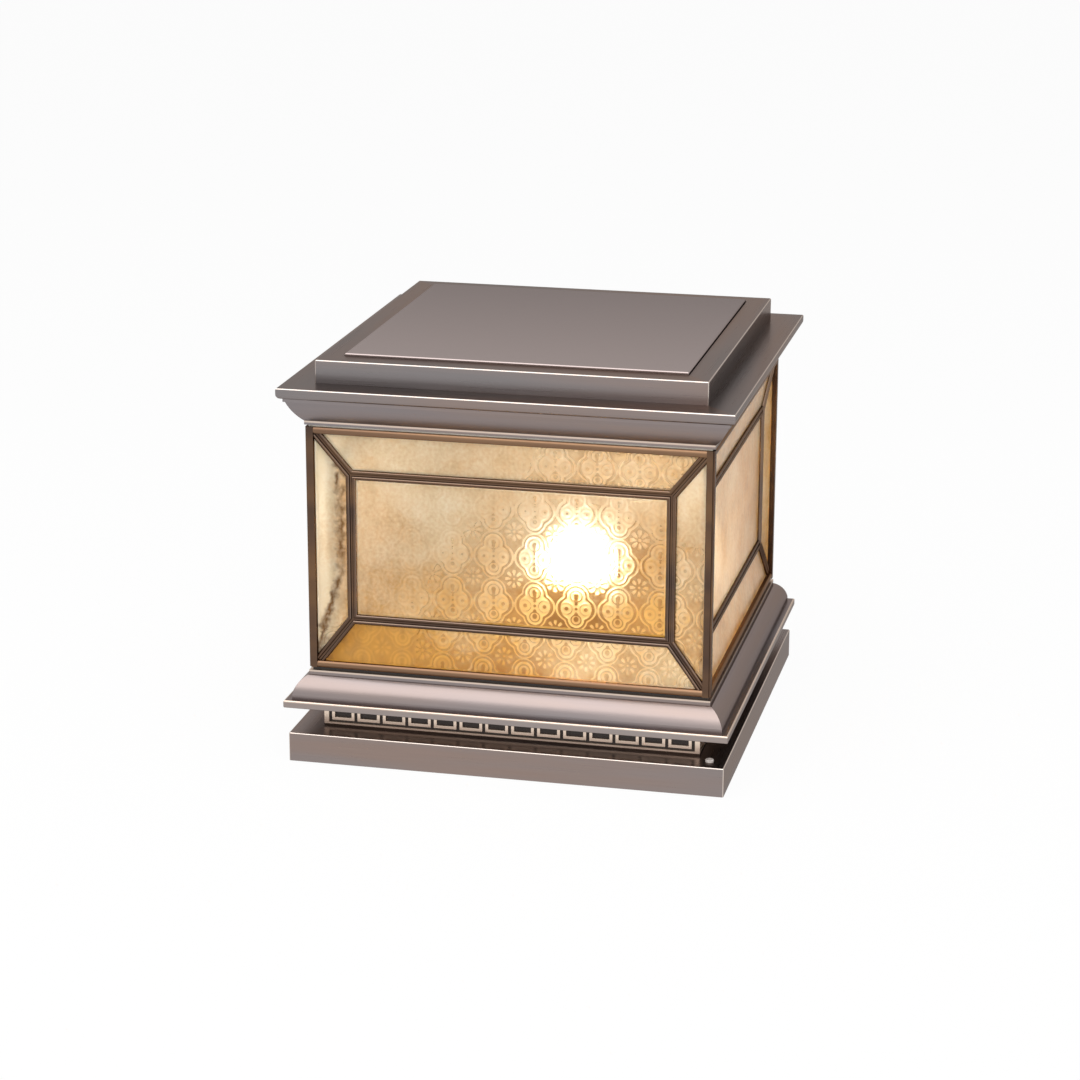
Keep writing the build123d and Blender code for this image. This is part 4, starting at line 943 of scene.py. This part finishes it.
# Stove enamel: warm white and glossy inside, with painted shade as a black line round the edge
reflector_enamel, tree = new_finish("reflector_stove_enamel")
grain = add(tree, "ShaderNodeGroup", node_tree=mitred_grain)
from_middle = add(tree, SEPARATE, {0: grain}).outputs["Y"]
rim_painted_shade = add(tree, MATH, {0: from_middle, 1: plate_half - SHADED_RIM_MM}, operation="GREATER_THAN")
colour = add(tree, MIX, {"Factor": rim_painted_shade, "A": linear("#e8e2d4"), "B": linear("#1a1513")}, data_type="RGBA")
surface = add(tree, PRINCIPLED, {"Base Color": colour, "Roughness": 0.4})
add(tree, MATERIAL_OUTPUT, {"Surface": surface})
print("plate half width in millimetres:", round(plate_half, 1))

# %% [markdown]
# ## Small parts
# The parts inside show when the roof is off: moulded plastics with a fine spark-eroded grain, zinc plate with
# its spangle, soft rubber, enamel with a little orange peel. They differ only in colour, gloss and grain, so
# one function makes them all.

# %% A moulded, painted or plated skin
CLOUD_GRAINS = 20.0  # grains across one cloud of the colour
CLOUD_SHADE = {"From Min": 0.3, "From Max": 0.7, "To Min": 0.92, "To Max": 1.04}
GLOSS_PLAY = 0.06    # how far the gloss of a grain strays
SKIN_BUMP = 0.4


def moulded(name, colour, roughness, grain_mm, relief_mm, metallic=0.0):
    """A moulded or coated skin: one colour with a slight cloud, and a grain of a given size and height."""
    material, tree = new_finish(name)
    spot_mm = place_mm(tree)
    skin = add(tree, NOISE, {"Vector": spot_mm, "Scale": 1 / grain_mm, "Detail": 2.0})
    cloud = add(tree, NOISE, {"Vector": spot_mm, "Scale": 1 / (CLOUD_GRAINS * grain_mm), "Detail": 1.0})
    shade = add(tree, MAP_RANGE, {"Value": cloud} | CLOUD_SHADE)
    tinted = add(tree, VECTOR_MATH, {0: linear(colour)[:3], "Scale": shade}, operation="SCALE")
    gloss = add(tree, MAP_RANGE,
                {"Value": skin, "To Min": roughness - GLOSS_PLAY, "To Max": roughness + GLOSS_PLAY})
    bump = add(tree, "ShaderNodeBump", {"Height": skin, "Strength": SKIN_BUMP, "Distance": relief_mm * MM})
    surface = add(tree, PRINCIPLED, {"Base Color": tinted, "Roughness": gloss, "Metallic": metallic,
                                     "Normal": bump})
    add(tree, MATERIAL_OUTPUT, {"Surface": surface})
    return material


print("grains across a cloud:", CLOUD_GRAINS)

# %% [markdown]
# The record gives each node a material slot, and this table gives each slot its finish.

# %% A finish for every slot
# After each colour come the roughness, and the grain and relief in millimetres, drawn coarse enough to show
FINISHES = {
    "bronze": antique_bronze,
    "came": dark_bronze,
    "amber_glass": amber_glass,
    "bulb_glass": frosted_globe,
    "panel_glass": cover_glass,
    # Stove enamel: deep black with a soft, slightly rippled shine
    "black_paint": moulded("black_stove_enamel", "#362c27", 0.45, 0.8, 0.02),
    # Nylon bush: pale, waxy, a small bright spot on the dark ledge
    "pale_nylon": moulded("pale_nylon", "#e6ddd6", 0.4, 0.6, 0.02),
    # Stove enamel: warm white, with the softest ripple in its shine
    "white_enamel": moulded("white_stove_enamel", "#e8e2d4", 0.3, 1.2, 0.02),
    # Thermoset: cream, hard and a little shiny
    "holder_plastic": moulded("cream_thermoset", "#ded9cc", 0.35, 0.7, 0.02),
    # Rolled aluminium: bright thread with clean highlights
    "bulb_cap": moulded("bright_rolled_aluminium", "#d8d6d2", 0.25, 0.9, 0.01, metallic=1.0),
    # Polycarbonate: clean white with a satin sheen
    "bulb_plastic": moulded("white_polycarbonate", "#eeeeea", 0.35, 0.6, 0.02),
    # Metal-core board: white mask, flat and glossy
    "led_board": moulded("white_metal_core_board", "#e4e4de", 0.3, 0.5, 0.01),
    # Nylon: soft black with a dull grain
    "connector_plastic": moulded("black_nylon", "#232223", 0.5, 0.6, 0.02),
    # Rubber sheath: black and nearly matt
    "lead_sheath": moulded("rubber_sheath", "#1a1a1a", 0.6, 0.8, 0.02),
    # Zinc plate: cool silver with a fine spangle
    "zinc_steel": moulded("zinc_plated_steel", "#c0bfbb", 0.32, 1.5, 0.01, metallic=1.0),
    # Sealing rubber: matt black line round the cover
    "gasket_rubber": moulded("sealing_rubber", "#171616", 0.7, 0.5, 0.03),
    # Silicon: blue black with a faint crystal cloud
    "solar_cell": moulded("silicon_wafer", "#14182c", 0.25, 3.0, 0.01),
    # Back sheet: matt white film
    "backsheet_film": moulded("white_backsheet_film", "#deded9", 0.5, 0.9, 0.01),
    # Shrink wrap: smooth blue with tight highlights
    "battery_wrap": moulded("blue_shrink_wrap", "#37618a", 0.3, 0.8, 0.01),
    # Solder mask: glossy green
    "circuit_board": moulded("green_solder_mask", "#1f5c38", 0.35, 0.6, 0.01),
    # Button: red, moulded smooth
    "button_plastic": moulded("red_acetal", "#b0322a", 0.35, 0.6, 0.02),
}
print("finishes:", len(FINISHES))

# %% [markdown]
# ## Dressing the imported nodes
# Every node takes its slot's finish. A few have a finish of their own, because the real ones were brushed or
# bathed differently, and some of these carry painted highlights and painted shade.

# %% Give every imported node its finish
OWN_FINISH = {
    "cornice": moulded_bronze,
    "lower_moulding": moulded_bronze,
    "fret_band": fret_bronze_painted_light_and_shade,
    "corner_post": dark_bronze,
    "bottom_rails": rail_bronze,
    "top_rails": rail_bronze,
    "cage_floor": reflector_enamel,
}
for part in frame["record"]["subparts"]:
    finish = FINISHES[part["material_slot"]]
    for start, own in OWN_FINISH.items():
        if part["node"].startswith(start):
            finish = own
    for place in frame["nodes"][part["node"]].material_slots:
        place.material = finish
